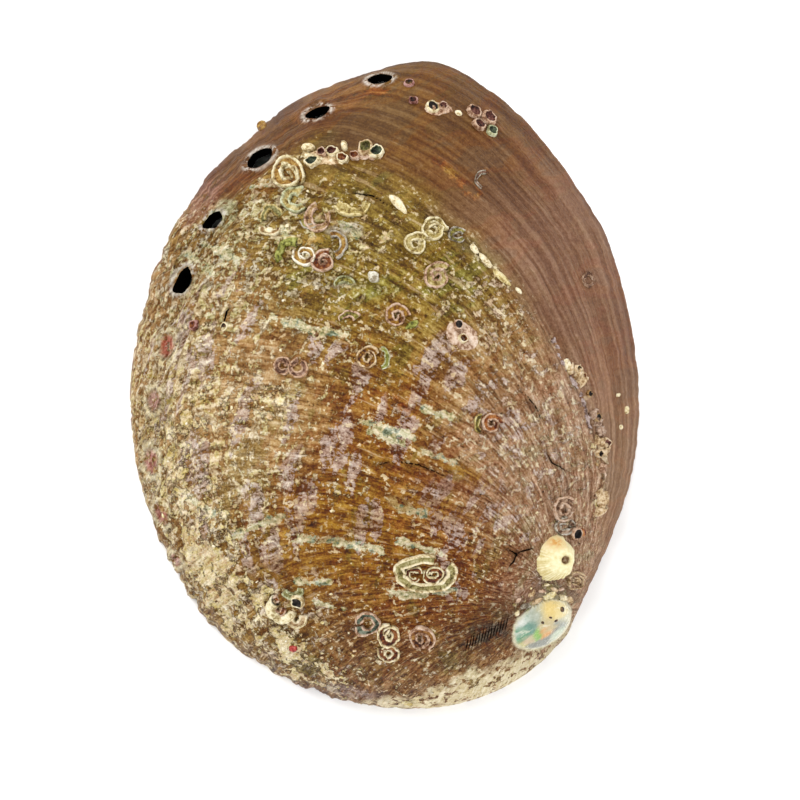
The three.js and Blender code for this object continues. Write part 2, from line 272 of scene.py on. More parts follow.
def fall(angle):
    """How fast the dome falls to the rim: slowly at the newest growth, steeply under the newest holes."""
    away = (np.degrees(np.mod(angle, 2 * np.pi)) - ROW_TOWARDS) / ROW_WIDTH
    return FALL_MEAN + FALL_SWING * np.cos(angle - DOME_TOWARDS) - ROW_STEEPNESS * np.exp(-away * away)


def rim_width(angle):
    """A thin lip on one side and a broad shelf on the other."""
    facing = np.cos(angle - SHELF_TOWARDS)
    return LIP_WIDTH + (SHELF_WIDTH - LIP_WIDTH) * smoothstep(facing, 0.1, 0.9)


def from_peak(x, y):
    """The angle of points about the peak, and how far out they are, from 0 to 1 at the rim."""
    angle = np.arctan2(y - PEAK[1], x - PEAK[0])
    return angle, np.minimum(1, np.hypot(x - PEAK[0], y - PEAK[1]) / rim_from_peak(angle))


def dome_height(x, y):
    angle, reach = from_peak(x, y)
    turn = np.arcsin(reach ** (1 / spread(angle)))
    return SHELL_HEIGHT * np.maximum(np.cos(turn), 0) ** fall(angle)


def dome_normal(x, y, step=0.4, inward=0.985):
    x = PEAK[0] + (x - PEAK[0]) * inward
    y = PEAK[1] + (y - PEAK[1]) * inward
    slope_x = (dome_height(x + step, y) - dome_height(x - step, y)) / (2 * step)
    slope_y = (dome_height(x, y + step) - dome_height(x, y - step)) / (2 * step)
    return unit(np.stack([-slope_x, -slope_y, np.ones_like(slope_x)], axis=-1))


def log_lip(angle):
    """The logarithm of the lip's radius about the pole: the rim up to the hole row, then the wall below."""
    rim = np.log(rim_from_pole(np.clip(angle, SUTURE_ANGLE, ROW_ANGLE)))
    return rim - WALL_RATE * np.maximum(angle - ROW_ANGLE, 0)


def growth(from_pole, lip_angle):
    """How many radians of growth ago the lip stood at each point, and the angle along the lip it stood at."""
    distance = np.log(np.maximum(from_pole, 0.1))
    age = np.full(np.shape(from_pole), OLDEST)
    gap = distance - log_lip(lip_angle)
    age[gap >= 0] = 0
    for now in np.arange(AGE_STEP, OLDEST, AGE_STEP):
        previous, gap = gap, distance + GROWTH_RATE * now - log_lip(lip_angle - now)
        found = (gap >= 0) & (age == OLDEST)
        age[found] = now - AGE_STEP * gap[found] / (gap[found] - previous[found])
    return age, lip_angle - age


def lattice(ix, iy, iz, seed):
    """A repeatable number from 0 to 1 for each whole-numbered place."""
    n = ix * 73856093 ^ iy * 19349663 ^ iz * 83492791 ^ (seed * 40503 + 977)
    n = (n ^ (n >> 13)) * 1274126177 & 0x7FFFFFFF
    return ((n ^ (n >> 15)) & 0xFFFF) / 0xFFFF


def clouds(x, y, z, seed, octaves=3):
    """Smooth noise about 0, mostly from -1 to 1, with finer and weaker noise on top."""
    total, size, weight = np.zeros(np.shape(x)), 1.0, 0.5
    for octave in range(octaves):
        cell = [np.floor(c * size).astype(np.int64) for c in (x, y, z)]
        fx, fy, fz = (smoothstep(c * size - i, 0, 1) for c, i in zip((x, y, z), cell))
        value = 0
        for corner in range(8):
            i, j, k = corner & 1, corner >> 1 & 1, corner >> 2
            share = (fx if i else 1 - fx) * (fy if j else 1 - fy) * (fz if k else 1 - fz)
            value = value + share * lattice(cell[0] + i, cell[1] + j, cell[2] + k, seed + octave)
        total += weight * (value - 0.5)
        size, weight = size * 2.1, weight * 0.55
    return total * 4


class Places:
    """Points of the outside seen from above, with what their relief and colour are worked out from."""

    def __init__(self, x, y):
        self.x, self.y, self.z = x, y, dome_height(x, y)
        self.px, self.py = to_picture(x, y)
        self.angle, self.reach = from_peak(x, y)
        right, up = x - POLE[0], y - POLE[1]
        self.from_pole = np.hypot(right, up)
        self.lip_angle = SUTURE_ANGLE + np.mod(np.arctan2(up, right) - SUTURE_ANGLE, 2 * np.pi)
        self.age, self.cord = growth(self.from_pole, self.lip_angle)
        self.band = self.age + self.twist()
        self.since = self.age - np.interp(np.degrees(self.cord), LEDGE_ANGLES, LEDGE_AGES)
        self.old = np.maximum(smoothstep(self.since, -0.015, 0.015), self.older_wall())

    def move_to(self, points):
        """Counts the places in the picture from where the finished surface lies."""
        self.px, self.py = to_picture(points[:, 0], points[:, 1])

    def aged(self):
        """How far the shell has aged, from 0 in the newest growth to 1."""
        ragged = 0.03 * self.weave(0.06, 0.06, 16)
        return np.maximum(smoothstep(self.since + ragged, -0.09, 0.07), self.older_wall())

    def older_wall(self):
        """The wall below the hole row is old down the left side, whatever the lip's age."""
        return smoothstep(self.py, 185, 230) * smoothstep(self.px, 330, 250)

    def twist(self):
        """How far the older growth lines turn towards the pole on the left side."""
        around = np.degrees(np.mod(self.lip_angle, 2 * np.pi))
        return 0.24 * smoothstep(around, 105, 160) * np.log(np.maximum(self.from_pole, 1) / 55)

    def grain(self, size, seed, octaves=3):
        """Noise with blobs of about this size."""
        return clouds(self.x / size, self.y / size, self.z / size, seed, octaves)

    def weave(self, across, along, seed):
        """Noise drawn out along the growth: its blobs span this much of the lip's angle and of the age."""
        return clouds(self.cord / across, self.band / along, np.zeros_like(self.age), seed)

    def away(self, at):
        return np.hypot(self.px - at[0], self.py - at[1])

    def oval(self, at, size, turn):
        """The distance from an oval's middle, 1 at its edge."""
        u, v = self.oval_axes(at, turn)
        return np.hypot(u / (size[0] / 2), v / (size[1] / 2))

    def oval_axes(self, at, turn):
        c, s = math.cos(math.radians(turn)), math.sin(math.radians(turn))
        right, up = self.px - at[0], at[1] - self.py
        return right * c + up * s, up * c - right * s

    def from_holes(self):
        """The distance from the nearest open hole's middle, 1 at its edge."""
        return np.min([self.oval(*hole) for hole in OPEN_HOLES], axis=0)

    def spots(self, spots):
        """How far soft round spots cover each point: place, radius and strength."""
        bare = np.ones_like(self.px)
        for at, radius, strength in spots:
            bare *= 1 - strength * bell(self.away(at), 0, radius)
        return 1 - bare

    def line(self, stops):
        """The distance to a broken line."""
        nearest = np.full(self.px.shape, np.inf)
        for (ax, ay), (bx, by) in zip(stops, stops[1:]):
            dx, dy = bx - ax, by - ay
            t = np.clip(((self.px - ax) * dx + (self.py - ay) * dy) / (dx * dx + dy * dy), 0, 1)
            nearest = np.minimum(nearest, np.hypot(self.px - ax - t * dx, self.py - ay - t * dy))
        return nearest


# Where the shell is worn pale, and where crust and pink algae cover it: place, radius and strength
WORN_SPOTS = [
    ((180, 390), 65, 0.55), ((175, 480), 60, 0.5), ((225, 570), 65, 0.35), ((270, 405), 36, 0.5),
    ((200, 300), 60, 0.45), ((235, 215), 50, 0.35), ((300, 250), 60, 0.3), ((350, 340), 45, 0.15),
    ((370, 235), 45, 0.15), ((500, 395), 40, 0.2), ((570, 440), 45, 0.15), ((520, 470), 50, 0.2),
    ((265, 480), 40, 0.25), ((280, 640), 50, 0.3), ((500, 300), 50, 0.35), ((545, 596), 24, 0.55),
]
CRUST_SPOTS = [
    ((212, 560), 52, 0.95), ((240, 615), 50, 0.8), ((178, 500), 52, 0.65), ((190, 420), 58, 0.6),
    ((272, 404), 34, 0.75), ((165, 450), 40, 0.55), ((290, 655), 50, 0.6), ((195, 330), 60, 0.4),
    ((330, 690), 40, 0.6), ((300, 480), 50, 0.3), ((320, 340), 40, 0.25), ((225, 215), 50, 0.35),
    ((300, 250), 50, 0.25), ((405, 700), 40, 0.7), ((500, 265), 50, 0.25), ((330, 625), 50, 0.35),
    ((545, 590), 26, 0.5), ((300, 170), 30, 0.4), ((440, 340), 40, 0.25), ((340, 498), 22, 0.5),
    ((568, 365), 11, 0.8), ((582, 385), 10, 0.8), ((592, 415), 10, 0.8), ((598, 445), 10, 0.8),
    ((598, 475), 10, 0.7), ((598, 502), 10, 0.8), ((560, 515), 16, 0.5), ((538, 592), 20, 0.7),
    ((560, 600), 14, 0.8), ((515, 603), 12, 0.5),
]
LILAC_SPOTS = [
    ((245, 350), 55, 0.4), ((270, 470), 60, 0.38), ((468, 384), 34, 0.45), ((505, 440), 36, 0.3),
    ((480, 505), 40, 0.45), ((325, 455), 50, 0.36), ((190, 370), 45, 0.4), ((340, 400), 50, 0.25),
    ((310, 520), 45, 0.35), ((455, 548), 35, 0.25), ((170, 440), 40, 0.3), ((400, 520), 30, 0.25),
]
# Streaks of sea-green growth: the places each one runs through
GREEN_STREAKS = [
    [(275, 318), (318, 332), (350, 337)], [(362, 420), (385, 428), (412, 437)], [(370, 430), (402, 442)],
    [(425, 452), (452, 461)], [(392, 588), (420, 592), (455, 586)], [(238, 532), (262, 522), (285, 515)],
    [(402, 538), (440, 552)], [(300, 536), (345, 540), (382, 548)], [(180, 490), (215, 512)],
    [(320, 600), (345, 606)], [(425, 410), (450, 416)], [(296, 244), (285, 232)], [(205, 245), (240, 262)],
    [(300, 578), (330, 580)], [(205, 215), (230, 208)], [(395, 505), (425, 512)], [(340, 226), (358, 236)],
    [(190, 255), (215, 275)], [(255, 190), (275, 186)],
]


class Cover:
    """How much of each growth lies on the shell at some places."""

    def __init__(self, p):
        ragged = p.grain(2.2, 13)
        self.crust = np.clip(p.spots(CRUST_SPOTS) * p.old * (0.85 + 0.3 * ragged), 0, 1)
        self.lilac = np.clip(p.spots(LILAC_SPOTS) * p.old, 0, 1)
        away = np.min([p.line(stops) for stops in GREEN_STREAKS], axis=0)
        self.green = bell(away, 0, 6.5 + 3 * p.grain(5, 14) + 2 * ragged) * p.old
        plates = p.grain(2.2, 11) + 0.6 * p.weave(0.05, 0.06, 12) + 2.6 * self.crust - 1.9
        self.plates = smoothstep(plates, 0, 0.5)


def growth_folds(p):
    """Soft folds along the growth, and the ledge before the newest growth."""
    size = smoothstep(p.from_pole, 8, 40)
    folds = FOLD_HEIGHT * size * np.sin(2 * np.pi * p.band / FOLD_TURN) * (0.55 + 0.45 * p.old)
    return folds + LEDGE_HEIGHT * p.old * smoothstep(p.since, LEDGE_FADING, 0)


def row_ridge(p):
    """A ridge along the hole row, which is the same spiral."""
    turned = p.lip_angle - ROW_ANGLE
    first_hole = np.linalg.norm(to_mm(OPEN_HOLES[0][0]) - POLE)
    spiral = first_hole * np.exp(-GROWTH_RATE * turned)
    fade = smoothstep(turned, -0.05, 0.2) * smoothstep(turned, 1.8, 1.2)
    return RIDGE_HEIGHT * fade * bell(p.from_pole, spiral, RIDGE_WIDTH)


# Lumps of crust: place, radius and height in millimetres
LUMPS = [
    ((222, 560), 7, 0.9), ((205, 525), 4, 0.6), ((265, 640), 4, 0.7), ((330, 660), 4, 0.5),
    ((245, 590), 4, 0.6), ((318, 165), 6, 0.5), ((312, 252), 6, 0.5), ((285, 405), 6, 0.4),
    ((585, 400), 3, 0.5), ((600, 470), 3, 0.5),
]


def lumps(p):
    return sum(height * np.exp(-2 * (p.away(at) * SCALE / radius) ** 2) for at, radius, height in LUMPS)


def cords(p):
    """Low cords that follow the spiral, stronger down the left side."""
    height = CORD_HEIGHT + OLD_CORD_HEIGHT * p.old * smoothstep(p.px, 420, 220)
    wander = 0.3 * p.weave(0.3, 0.3, 21)
    return height * np.cos(2 * np.pi * (p.cord / CORD_TURN + wander))


def lamellae(p):
    """Small steps where growth paused, each overlapping the one before."""
    phase = np.mod(p.band / PAUSE_TURN + 1.1 * p.weave(0.25, 0.2, 31), 1)
    step = phase * smoothstep(phase, 1.0, 0.7)
    height = smoothstep(p.from_pole, 6, 40) * (PAUSE_HEIGHT + OLD_PAUSE_HEIGHT * p.old)
    return height * step * (1 + 0.5 * p.grain(3, 32))


def roughness(p):
    """Broad dents in the newest growth, and grit on the older shell."""
    dents = DENT_HEIGHT * (1 - p.old) * p.grain(6, 44, 2)
    return dents + GRIT_HEIGHT * p.old * p.grain(1.2, 41) + GRAIN_HEIGHT * p.grain(2.4, 42)


def collars(p):
    """Raised rims round the holes, with the filled ones sunk a little in the middle."""
    raised = sum(bell(p.oval(*hole), 1.25, 0.4) for hole in OPEN_HOLES + FILLED_HOLES)
    sunk = sum(smoothstep(p.oval(*hole), 1.0, 0.5) for hole in FILLED_HOLES)
    return COLLAR_HEIGHT * (raised - sunk)


def cracks(p):
    return CRACK_DEPTH * sum(bell(p.line(stops), 0, CRACK_WIDTH) for stops in CRACKS)


def spire(p, ground):
    """The worn knob at the pole, flat and a little proud of the shell round it."""
    edge = p.oval(SPIRE_AT, SPIRE_SIZE, SPIRE_TURN)
    knob = SPIRE_HEIGHT * np.sqrt(np.maximum(1 - edge ** 2, 0)) - SPIRE_SINK
    groove = SPIRE_GROOVE * bell(edge, 1.08, 0.1)
    return np.where(edge < 1, np.maximum(ground, knob), ground) - groove


def relief(p):
    """How far the surface stands off the bare dome. It is calm round the open holes and level at the rim."""
    plates = PLATE_HEIGHT * Cover(p).plates * (1 + 0.3 * p.grain(0.9, 43))
    coarse = growth_folds(p) + row_ridge(p) + lumps(p)
    fine = (cords(p) + lamellae(p) + roughness(p) + plates) * smoothstep(p.from_holes(), 0.8, 1.8)
    fine = fine - cracks(p) + collars(p)
    return spire(p, coarse * smoothstep(p.reach, 0.995, 0.93) + fine * smoothstep(p.reach, 1, 0.975))


def rim_shift(angle):
    """How far the rim is cut back: raggedly fluted along the lower left, finely notched elsewhere."""
    degrees = np.degrees(np.mod(angle, 2 * np.pi))
    fluted = smoothstep(degrees, 195, 215) * smoothstep(degrees, 290, 270)
    beside_holes = smoothstep(degrees, 85, 105) * smoothstep(degrees, 185, 165)
    flutes = np.abs(np.cos(FLUTES * angle + 3 * np.sin(5 * angle))) ** 0.7 - 1
    notches = clouds(angle * NOTCHES, angle * 0, angle * 0, 51, 4)
    depth = NOTCH_DEPTH + FLUTE_NOTCH_DEPTH * fluted + HOLE_NOTCH_DEPTH * beside_holes
    return FLUTE_DEPTH * fluted * flutes + depth * np.minimum(notches, 0.3)


def surface(x, y):
    """Points of the outside above plan points, the dome's direction there, and what is known of them."""
    p = Places(x, y)
    normal = dome_normal(x, y)
    shift = rim_shift(p.angle) * smoothstep(p.reach, 0.8, 0.97)
    points = np.stack([x + shift * np.cos(p.angle), y + shift * np.sin(p.angle), p.z], axis=-1)
    return points + normal * relief(p)[..., None], normal, p


def on_shell(places):
    """Points of the outside that are seen at places in the picture, and directions out of it there."""
    asked = to_mm(places)
    plan = asked
    for _ in range(2):
        points, normal, _ = surface(*plan.T)
        plan = plan + asked - points[:, :2]
    return points, normal


def square_net(cells):
    """A square net moved onto a disc: how far out each knot is, from 0 to 1, and its angle."""
    steps = np.linspace(-1, 1, cells + 1)
    u, v = (axis.ravel() for axis in np.meshgrid(steps, steps))
    reach = np.maximum(np.abs(u), np.abs(v))
    safe_u, safe_v = (np.where(c == 0, 1, c) for c in (u, v))
    flat = np.pi / 4 * v / safe_u + np.where(u < 0, np.pi, 0)
    tall = np.pi / 2 - np.pi / 4 * u / safe_v + np.where(v < 0, np.pi, 0)
    return reach, np.where(np.abs(u) >= np.abs(v), flat, tall)


def net_faces(cells):
    """Two faces for each cell, parted along the line that points to the net's middle."""
    row, column = (axis.ravel() for axis in np.mgrid[0:cells, 0:cells])
    a = row * (cells + 1) + column
    b = a + cells + 1
    same_side = ((row < cells / 2) == (column < cells / 2))[:, None]
    first = np.where(same_side, np.stack([a, a + 1, b + 1], 1), np.stack([a, a + 1, b], 1))
    second = np.where(same_side, np.stack([a, b + 1, b], 1), np.stack([a + 1, b + 1, b], 1))
    return np.concatenate([first, second])


def net_edge(cells):
    """The knots round a net's edge, anticlockwise."""
    side = np.arange(cells)
    width = cells + 1
    top = cells * width
    return np.concatenate([side, cells + side * width, top + cells - side, top - side * width])


def net_plan(reach, angle, inset):
    """Where the knots of a net over the dome stand in the plan, this far inside the rim."""
    radius = (rim_from_peak(angle) - inset) * np.sin(reach * np.pi / 2) ** spread(angle)
    return PEAK[0] + radius * np.cos(angle), PEAK[1] + radius * np.sin(angle)


def outer_net():
    return surface(*net_plan(*square_net(OUTER_CELLS), 0))


def inner_net():
    """The hollow, which is smooth."""
    reach, angle = square_net(INNER_CELLS)
    height = (SHELL_HEIGHT - WALL) * np.cos(reach * np.pi / 2) ** fall(angle)
    return np.stack([*net_plan(reach, angle, rim_width(angle)), height], axis=-1)


def rim_faces(outer, inner):
    """The underside of the rim, between the edges of the two nets."""
    faces = []
    for k in range(len(inner)):
        here, following = inner[k], inner[(k + 1) % len(inner)]
        o = [outer[(STITCH * k + i) % len(outer)] for i in range(STITCH + 1)]
        faces += [(here, o[1], o[0]), (here, o[2], o[1]), (here, following, o[2]), (following, o[3], o[2])]
    return np.array(faces)


def full_turn(sides):
    return np.linspace(0, 2 * np.pi, sides, endpoint=False)


def oval_ring(size, turn, t, ragged=1.0):
    """Places round an oval in the picture, counted from its middle."""
    c, s = math.cos(math.radians(turn)), math.sin(math.radians(turn))
    long, short = size[0] / 2 * ragged * np.cos(t), size[1] / 2 * ragged * np.sin(t)
    return np.stack([long * c - short * s, -long * s - short * c], axis=1)


def hole_cutter(at, size, turn, sides=40):
    """The two ends of a leaning prism through the wall, which meets the outside at the hole's oval."""
    ring, normals = on_shell(at + oval_ring(size, turn, full_turn(sides)))
    axis = unit(normals.mean(axis=0) * HOLE_LEAN + np.array([0, 0, 1 - HOLE_LEAN]))
    return np.stack([ring - axis * HOLE_DEPTH, ring + axis * HOLE_CLEARANCE])


def strip_faces(rings, sides):
    """Faces between rings of points that follow each other, with both ends closed."""
    here = (np.arange(rings - 1)[:, None] * sides + np.arange(sides)).ravel()
    following = (np.arange(rings - 1)[:, None] * sides + (np.arange(sides) + 1) % sides).ravel()
    quads = np.stack([here, following, following + sides, here + sides], axis=1)
    last = (rings - 1) * sides
    return [*map(tuple, quads), tuple(range(sides))[::-1], tuple(range(last, last + sides))]


class Heap:
    """Many small forms gathered into one mesh, with a number or colour for each point."""

    def __init__(self):
        self.points, self.faces, self.fields, self.count = [], [], [], 0

    def add(self, rings, **fields):
        """Adds a form that is made of rings of points."""
        points = np.reshape(rings, (-1, 3))
        faces = strip_faces(*np.shape(rings)[:2])
        self.faces += [tuple(int(i) + self.count for i in face) for face in faces]
        self.points.append(points)
        self.fields.append({name: self.per_point(value, len(points)) for name, value in fields.items()})
        self.count += len(points)

    @staticmethod
    def per_point(value, count):
        value = np.asarray(value, float)
        return value if value.shape[:1] == (count,) else np.broadcast_to(value, (count, *value.shape))

    def mesh(self, name):
        mesh = new_mesh(name, np.concatenate(self.points), self.faces)
        for field in self.fields[0]:
            set_field(mesh, field, np.concatenate([fields[field] for fields in self.fields]))
        return mesh

    def piece(self, name, material):
        mesh = self.mesh(name)
        mesh.materials.append(material)
        mesh.shade_smooth()
        return new_object(name, mesh)


def new_mesh(name, points, faces):
    mesh = bpy.data.meshes.new(name)
    mesh.from_pydata((np.asarray(points) * MM).tolist(), [], [tuple(map(int, face)) for face in faces])
    return mesh


def set_field(mesh, name, values):
    """Stores a number, a direction or a colour for each point of a mesh."""
    width = 1 if values.ndim == 1 else values.shape[1]
    kind, key = {1: ("FLOAT", "value"), 3: ("FLOAT_VECTOR", "vector"), 4: ("FLOAT_COLOR", "color")}[width]
    field = mesh.attributes.new(name, kind, "POINT")
    field.data.foreach_set(key, np.ascontiguousarray(values, np.float32).ravel())


def new_object(name, mesh):
    piece = bpy.data.objects.new(name, mesh)
    bpy.context.scene.collection.objects.link(piece)
    return piece


def with_holes(mesh):
    """The mesh with the open holes cut through it."""
    cutters = Heap()
    for hole in OPEN_HOLES:
        cutters.add(hole_cutter(*hole))
    whole = new_object("whole", mesh)
    cutter = new_object("cutter", cutters.mesh("cutter"))
    for material in mesh.materials:
        cutter.data.materials.append(material)
    # The walls of the holes take the near-black painted shade.
    cutter.data.polygons.foreach_set("material_index", [HOLE_WALL] * len(cutter.data.polygons))
    cut = whole.modifiers.new("holes", "BOOLEAN")
    cut.object, cut.solver, cut.operation = cutter, "MANIFOLD", "DIFFERENCE"
    result = bpy.data.meshes.new_from_object(whole.evaluated_get(bpy.context.evaluated_depsgraph_get()))
    for helper in (whole, cutter):
        bpy.data.objects.remove(helper)
    return result


def nearest(points, known):
    """For each point, the number of the nearest known one."""
    tree = KDTree(len(known))
    for i, point in enumerate(known):
        tree.insert(point, i)
    tree.balance()
    return np.array([tree.find(point)[1] for point in points])


# The shell's own colours under what grew on it: place, radius and colour
OLDER_GROUND = [
    ((405, 290), 75, OLIVE), ((330, 225), 60, OLIVE), ((235, 205), 55, MOSS_BROWN),
    ((385, 395), 60, CHESTNUT), ((345, 520), 75, RUST), ((420, 480), 50, RUST), ((490, 370), 50, SAND),
    ((545, 400), 45, GREY_SAND), ((505, 462), 58, ROSE_SAND), ((565, 470), 45, GREY_SAND),
    ((450, 540), 45, CHESTNUT), ((535, 592), 32, PINK_TAN), ((440, 610), 50, RED_BROWN),
    ((490, 585), 40, RED_BROWN), ((440, 665), 40, GREY_BROWN), ((200, 340), 60, TAN),
    ((195, 430), 60, PALE_TAN), ((275, 410), 45, PALE_TAN), ((170, 490), 50, TAN),
    ((215, 560), 50, MOSS_BROWN), ((265, 620), 50, MOSS_BROWN), ((350, 670), 50, GREY_BROWN),
    ((460, 690), 40, TAN),
]
NEWEST_GROUND = [
    ((380, 150), 90, GOLD_BROWN), ((480, 150), 60, BROWN), ((300, 130), 60, BROWN),
    ((575, 280), 100, MAUVE_BROWN), ((612, 480), 80, SAND_BROWN),
]
WORN_COLOURS = [
    ((190, 420), 90, YELLOW_CREAM), ((230, 560), 70, CREAM), ((240, 260), 80, SEA_GREEN),
    ((330, 230), 70, STRAW), ((410, 290), 60, STRAW), ((330, 440), 90, STRAW), ((480, 400), 70, LILAC),
    ((520, 440), 60, PINK_TAN), ((570, 440), 50, GREY), ((480, 560), 70, PINK_TAN), ((340, 560), 70, BUFF),
    ((350, 660), 60, GREY), ((500, 300), 60, BUFF), ((460, 690), 40, CREAM),
]
HOLE_FILLS = [hex_colour(code) for code in ("#a5513c", "#a97a6c", "#b4766a", "#b9776c", "#b4857a")]

# Stains on the shell, and painted shade beside the spire: place, size, turn, colour and strength
STAINS = [
    ((441, 166), (22, 9), -30, RED_BROWN, 0.8), ((452, 176), (18, 8), -40, OCHRE, 0.7),
    ((466, 190), (34, 12), -35, RED_BROWN, 0.8), ((472, 194), (14, 5), -35, OCHRE, 0.8),
    ((381, 93), (26, 9), 0, ORANGE, 0.6), ((400, 403), (24, 10), -50, ORANGE, 0.7),
    ((312, 246), (28, 16), 0, OCHRE, 0.8), ((400, 502), (26, 12), -20, YELLOW_CREAM, 0.6),
    ((330, 105), (90, 26), 25, ORANGE, 0.2), ((375, 290), (60, 26), 0, LEAF, 0.35),
    ((395, 312), (60, 30), 0, OCHRE, 0.35), ((465, 472), (80, 16), -25, RUST, 0.85),
    ((430, 478), (90, 18), -18, RED_BROWN, 0.6), ((330, 520), (110, 40), 0, RUST, 0.5),
    ((290, 565), (90, 26), 0, RUST, 0.5), ((430, 505), (90, 26), -15, RUST, 0.5),
    # The dark brown and slate patches below left of the spire are painted shade round the knob.
    ((395, 375), (70, 22), -25, RUST, 0.5), ((478, 622), (100, 34), 24, DARK_BROWN, 0.5),
    ((470, 650), (90, 22), 22, DARK_BROWN, 0.45), ((486, 631), (46, 20), 27, SLATE, 0.6),
    ((540, 596), (64, 18), -10, PINK_TAN, 0.75), ((556, 598), (30, 10), -20, CREAM, 0.8),
    ((522, 596), (40, 14), 35, RED_BROWN, 0.5), ((478, 689), (140, 40), 18, CREAM, 0.85),
    ((538, 660), (92, 38), 40, CREAM, 0.85), ((395, 703), (70, 14), 0, CREAM, 0.7),
    ((350, 690), (60, 12), -12, LILAC, 0.5), ((200, 205), (60, 26), 50, PINK, 0.35),
    ((240, 185), (44, 16), 25, RED_BROWN, 0.4), ((226, 216), (20, 34), -20, SEA_GREEN, 0.5),
    ((348, 231), (34, 14), 10, GREY, 0.6), ((270, 190), (60, 12), 25, RED_BROWN, 0.4),
    ((330, 285), (46, 12), -5, GREY, 0.4),
]

# The spire's worn mother of pearl: place along and across it, radius and colour. The grey tints along its
# lower side are painted shade of a groove.
SPIRE_TINTS = [
    ((-0.73, 0.25), 0.17, "#56906a"), ((-0.36, 0.3), 0.17, "#668f7e"), ((0.0, 0.4), 0.18, "#a3aa98"),
    ((0.4, 0.36), 0.22, "#e2c676"), ((0.75, 0.16), 0.18, "#e4d092"), ((0.15, 0.04), 0.2, "#c4b486"),
    ((-0.33, -0.16), 0.12, "#86b452"), ((-0.58, -0.08), 0.13, "#ccb496"),
    ((-0.05, -0.36), 0.14, "#d89e5c"), ((-0.57, -0.53), 0.14, "#85867a"),
    ((-0.19, -0.72), 0.16, "#85877c"), ((0.22, -0.5), 0.14, "#7f8178"), ((0.56, -0.4), 0.14, "#8c928c"),
    ((0.36, -0.78), 0.2, "#c6ceb6"), ((0.84, -0.36), 0.2, "#d8d4b6"), ((-0.84, -0.14), 0.14, "#b8b068"),
    ((-0.66, 0.72), 0.2, "#d0d2c8"), ((-0.05, 0.85), 0.24, "#c2c6b6"),
]


def blended(distances, tints):
    """The average of some colours, each counting most near its own place."""
    weights = np.exp(-np.square(distances)) + 1e-6
    return (weights[..., None] * np.array(tints)[:, None, :]).sum(0) / weights.sum(0)[:, None]


def zoned(p, zones):
    """The blended colours of some zones: place, radius and colour."""
    return blended(np.array([p.away(at) / radius for at, radius, _ in zones]), [tint for *_, tint in zones])


def ground_colour(p):
    older, newest = zoned(p, OLDER_GROUND), zoned(p, NEWEST_GROUND)
    return newest + (older - newest) * p.aged()[:, None]


def wear(p):
    """How much of the shell is worn pale, as the level at which ragged noise has that share above it."""
    share = np.clip((0.14 + 0.86 * p.spots(WORN_SPOTS)) * p.aged(), 0.01, 0.97)
    return 0.5 + 0.094 * np.log(share / (1 - share))


class Paint:
    """Colours laid over the shell one after another."""

    def __init__(self, count):
        self.tint, self.cover = np.zeros((count, 3)), np.zeros(count)

    def lay(self, cover, tint):
        cover = np.clip(cover, 0, 1)
        tint = np.asarray(tint)[..., :3]
        self.tint = self.tint * (1 - cover)[:, None] + tint * cover[:, None]
        self.cover = self.cover + (1 - self.cover) * cover

    def colours(self):
        tint = self.tint / np.maximum(self.cover, 1e-4)[:, None]
        return np.concatenate([tint, self.cover[:, None]], axis=1)


def spire_edge(p):
    return p.oval(SPIRE_AT, SPIRE_SIZE, SPIRE_TURN) + 0.02 * p.grain(2.0, 61)


def spire_colour(p):
    u, v = p.oval_axes(SPIRE_AT, SPIRE_TURN)
    streaks = clouds(u / 30, v / 5, np.zeros_like(u), 62)
    u, v = u / (SPIRE_SIZE[0] / 2) + 0.08 * p.grain(1.6, 63), v / (SPIRE_SIZE[1] / 2) + 0.2 * streaks
    away = [np.hypot(u - at[0], v - at[1]) / radius for at, radius, _ in SPIRE_TINTS]
    return blended(np.array(away), [hex_colour(code) for *_, code in SPIRE_TINTS])


def spire_flow(p):
    """Where each point is along and across the streaks of the spire's mother of pearl."""
    u, v = p.oval_axes(SPIRE_AT, SPIRE_TURN)
    return np.stack([u / 26, v / 7 + 0.5 * p.grain(2.5, 69), np.zeros_like(u)], axis=1)


def painted(p):
    """Stains, hole rims, fillings and the spire's mother of pearl, with painted shade along the cracks, round
    the fillings, at the scarp and in the spire's groove.
    """
    paint = Paint(len(p.px))
    ragged = 0.22 * p.grain(1.6, 64)
    for at, size, turn, tint, strength in STAINS:
        paint.lay(strength * smoothstep(p.oval(at, size, turn) + 1.6 * ragged, 1.3, 0.6), tint)
    for hole in OPEN_HOLES:
        paint.lay(0.95 * bell(p.oval(*hole) + 0.3 * ragged, 1.15, 0.18), HOLE_RIM)
    for hole, fill in zip(FILLED_HOLES, HOLE_FILLS):
        edge = p.oval(*hole) + 0.6 * ragged
        paint.lay(0.95 * bell(edge, 1.15, 0.28), CREAM)
        paint.lay(0.9 * smoothstep(edge, 0.95, 0.55), fill)
        # Painted shade: a dark line between the filling and its rim, and another round the foot of the rim.
        paint.lay(0.6 * bell(edge, 0.9, 0.1), DARK_BROWN)
        paint.lay(0.35 * bell(edge, 1.5, 0.12), DARK_BROWN)
    # Painted shade along the cracks.
    for stops in CRACKS:
        paint.lay(0.5 * bell(p.line(stops), 0, 2.4), DARK_BROWN)
    # Painted shade: a broken dark line along the step before the newest growth.
    scarp = bell(p.since + 0.012 * p.weave(0.1, 0.5, 65), 0, 0.012)
    paint.lay(0.6 * scarp * smoothstep(p.grain(3, 66), -0.4, 0.5), DARK_BROWN)
    edge = spire_edge(p)
    # Painted shade in the groove round the spire.
    paint.lay(0.4 * bell(edge, 1.14, 0.08) * smoothstep(p.grain(2, 67), -0.3, 0.6), GREY_BROWN)
    paint.lay(smoothstep(edge, 1.05, 0.98), PEARL_RIM)
    paint.lay(smoothstep(edge, 0.97, 0.88), spire_colour(p))
    return paint.colours()


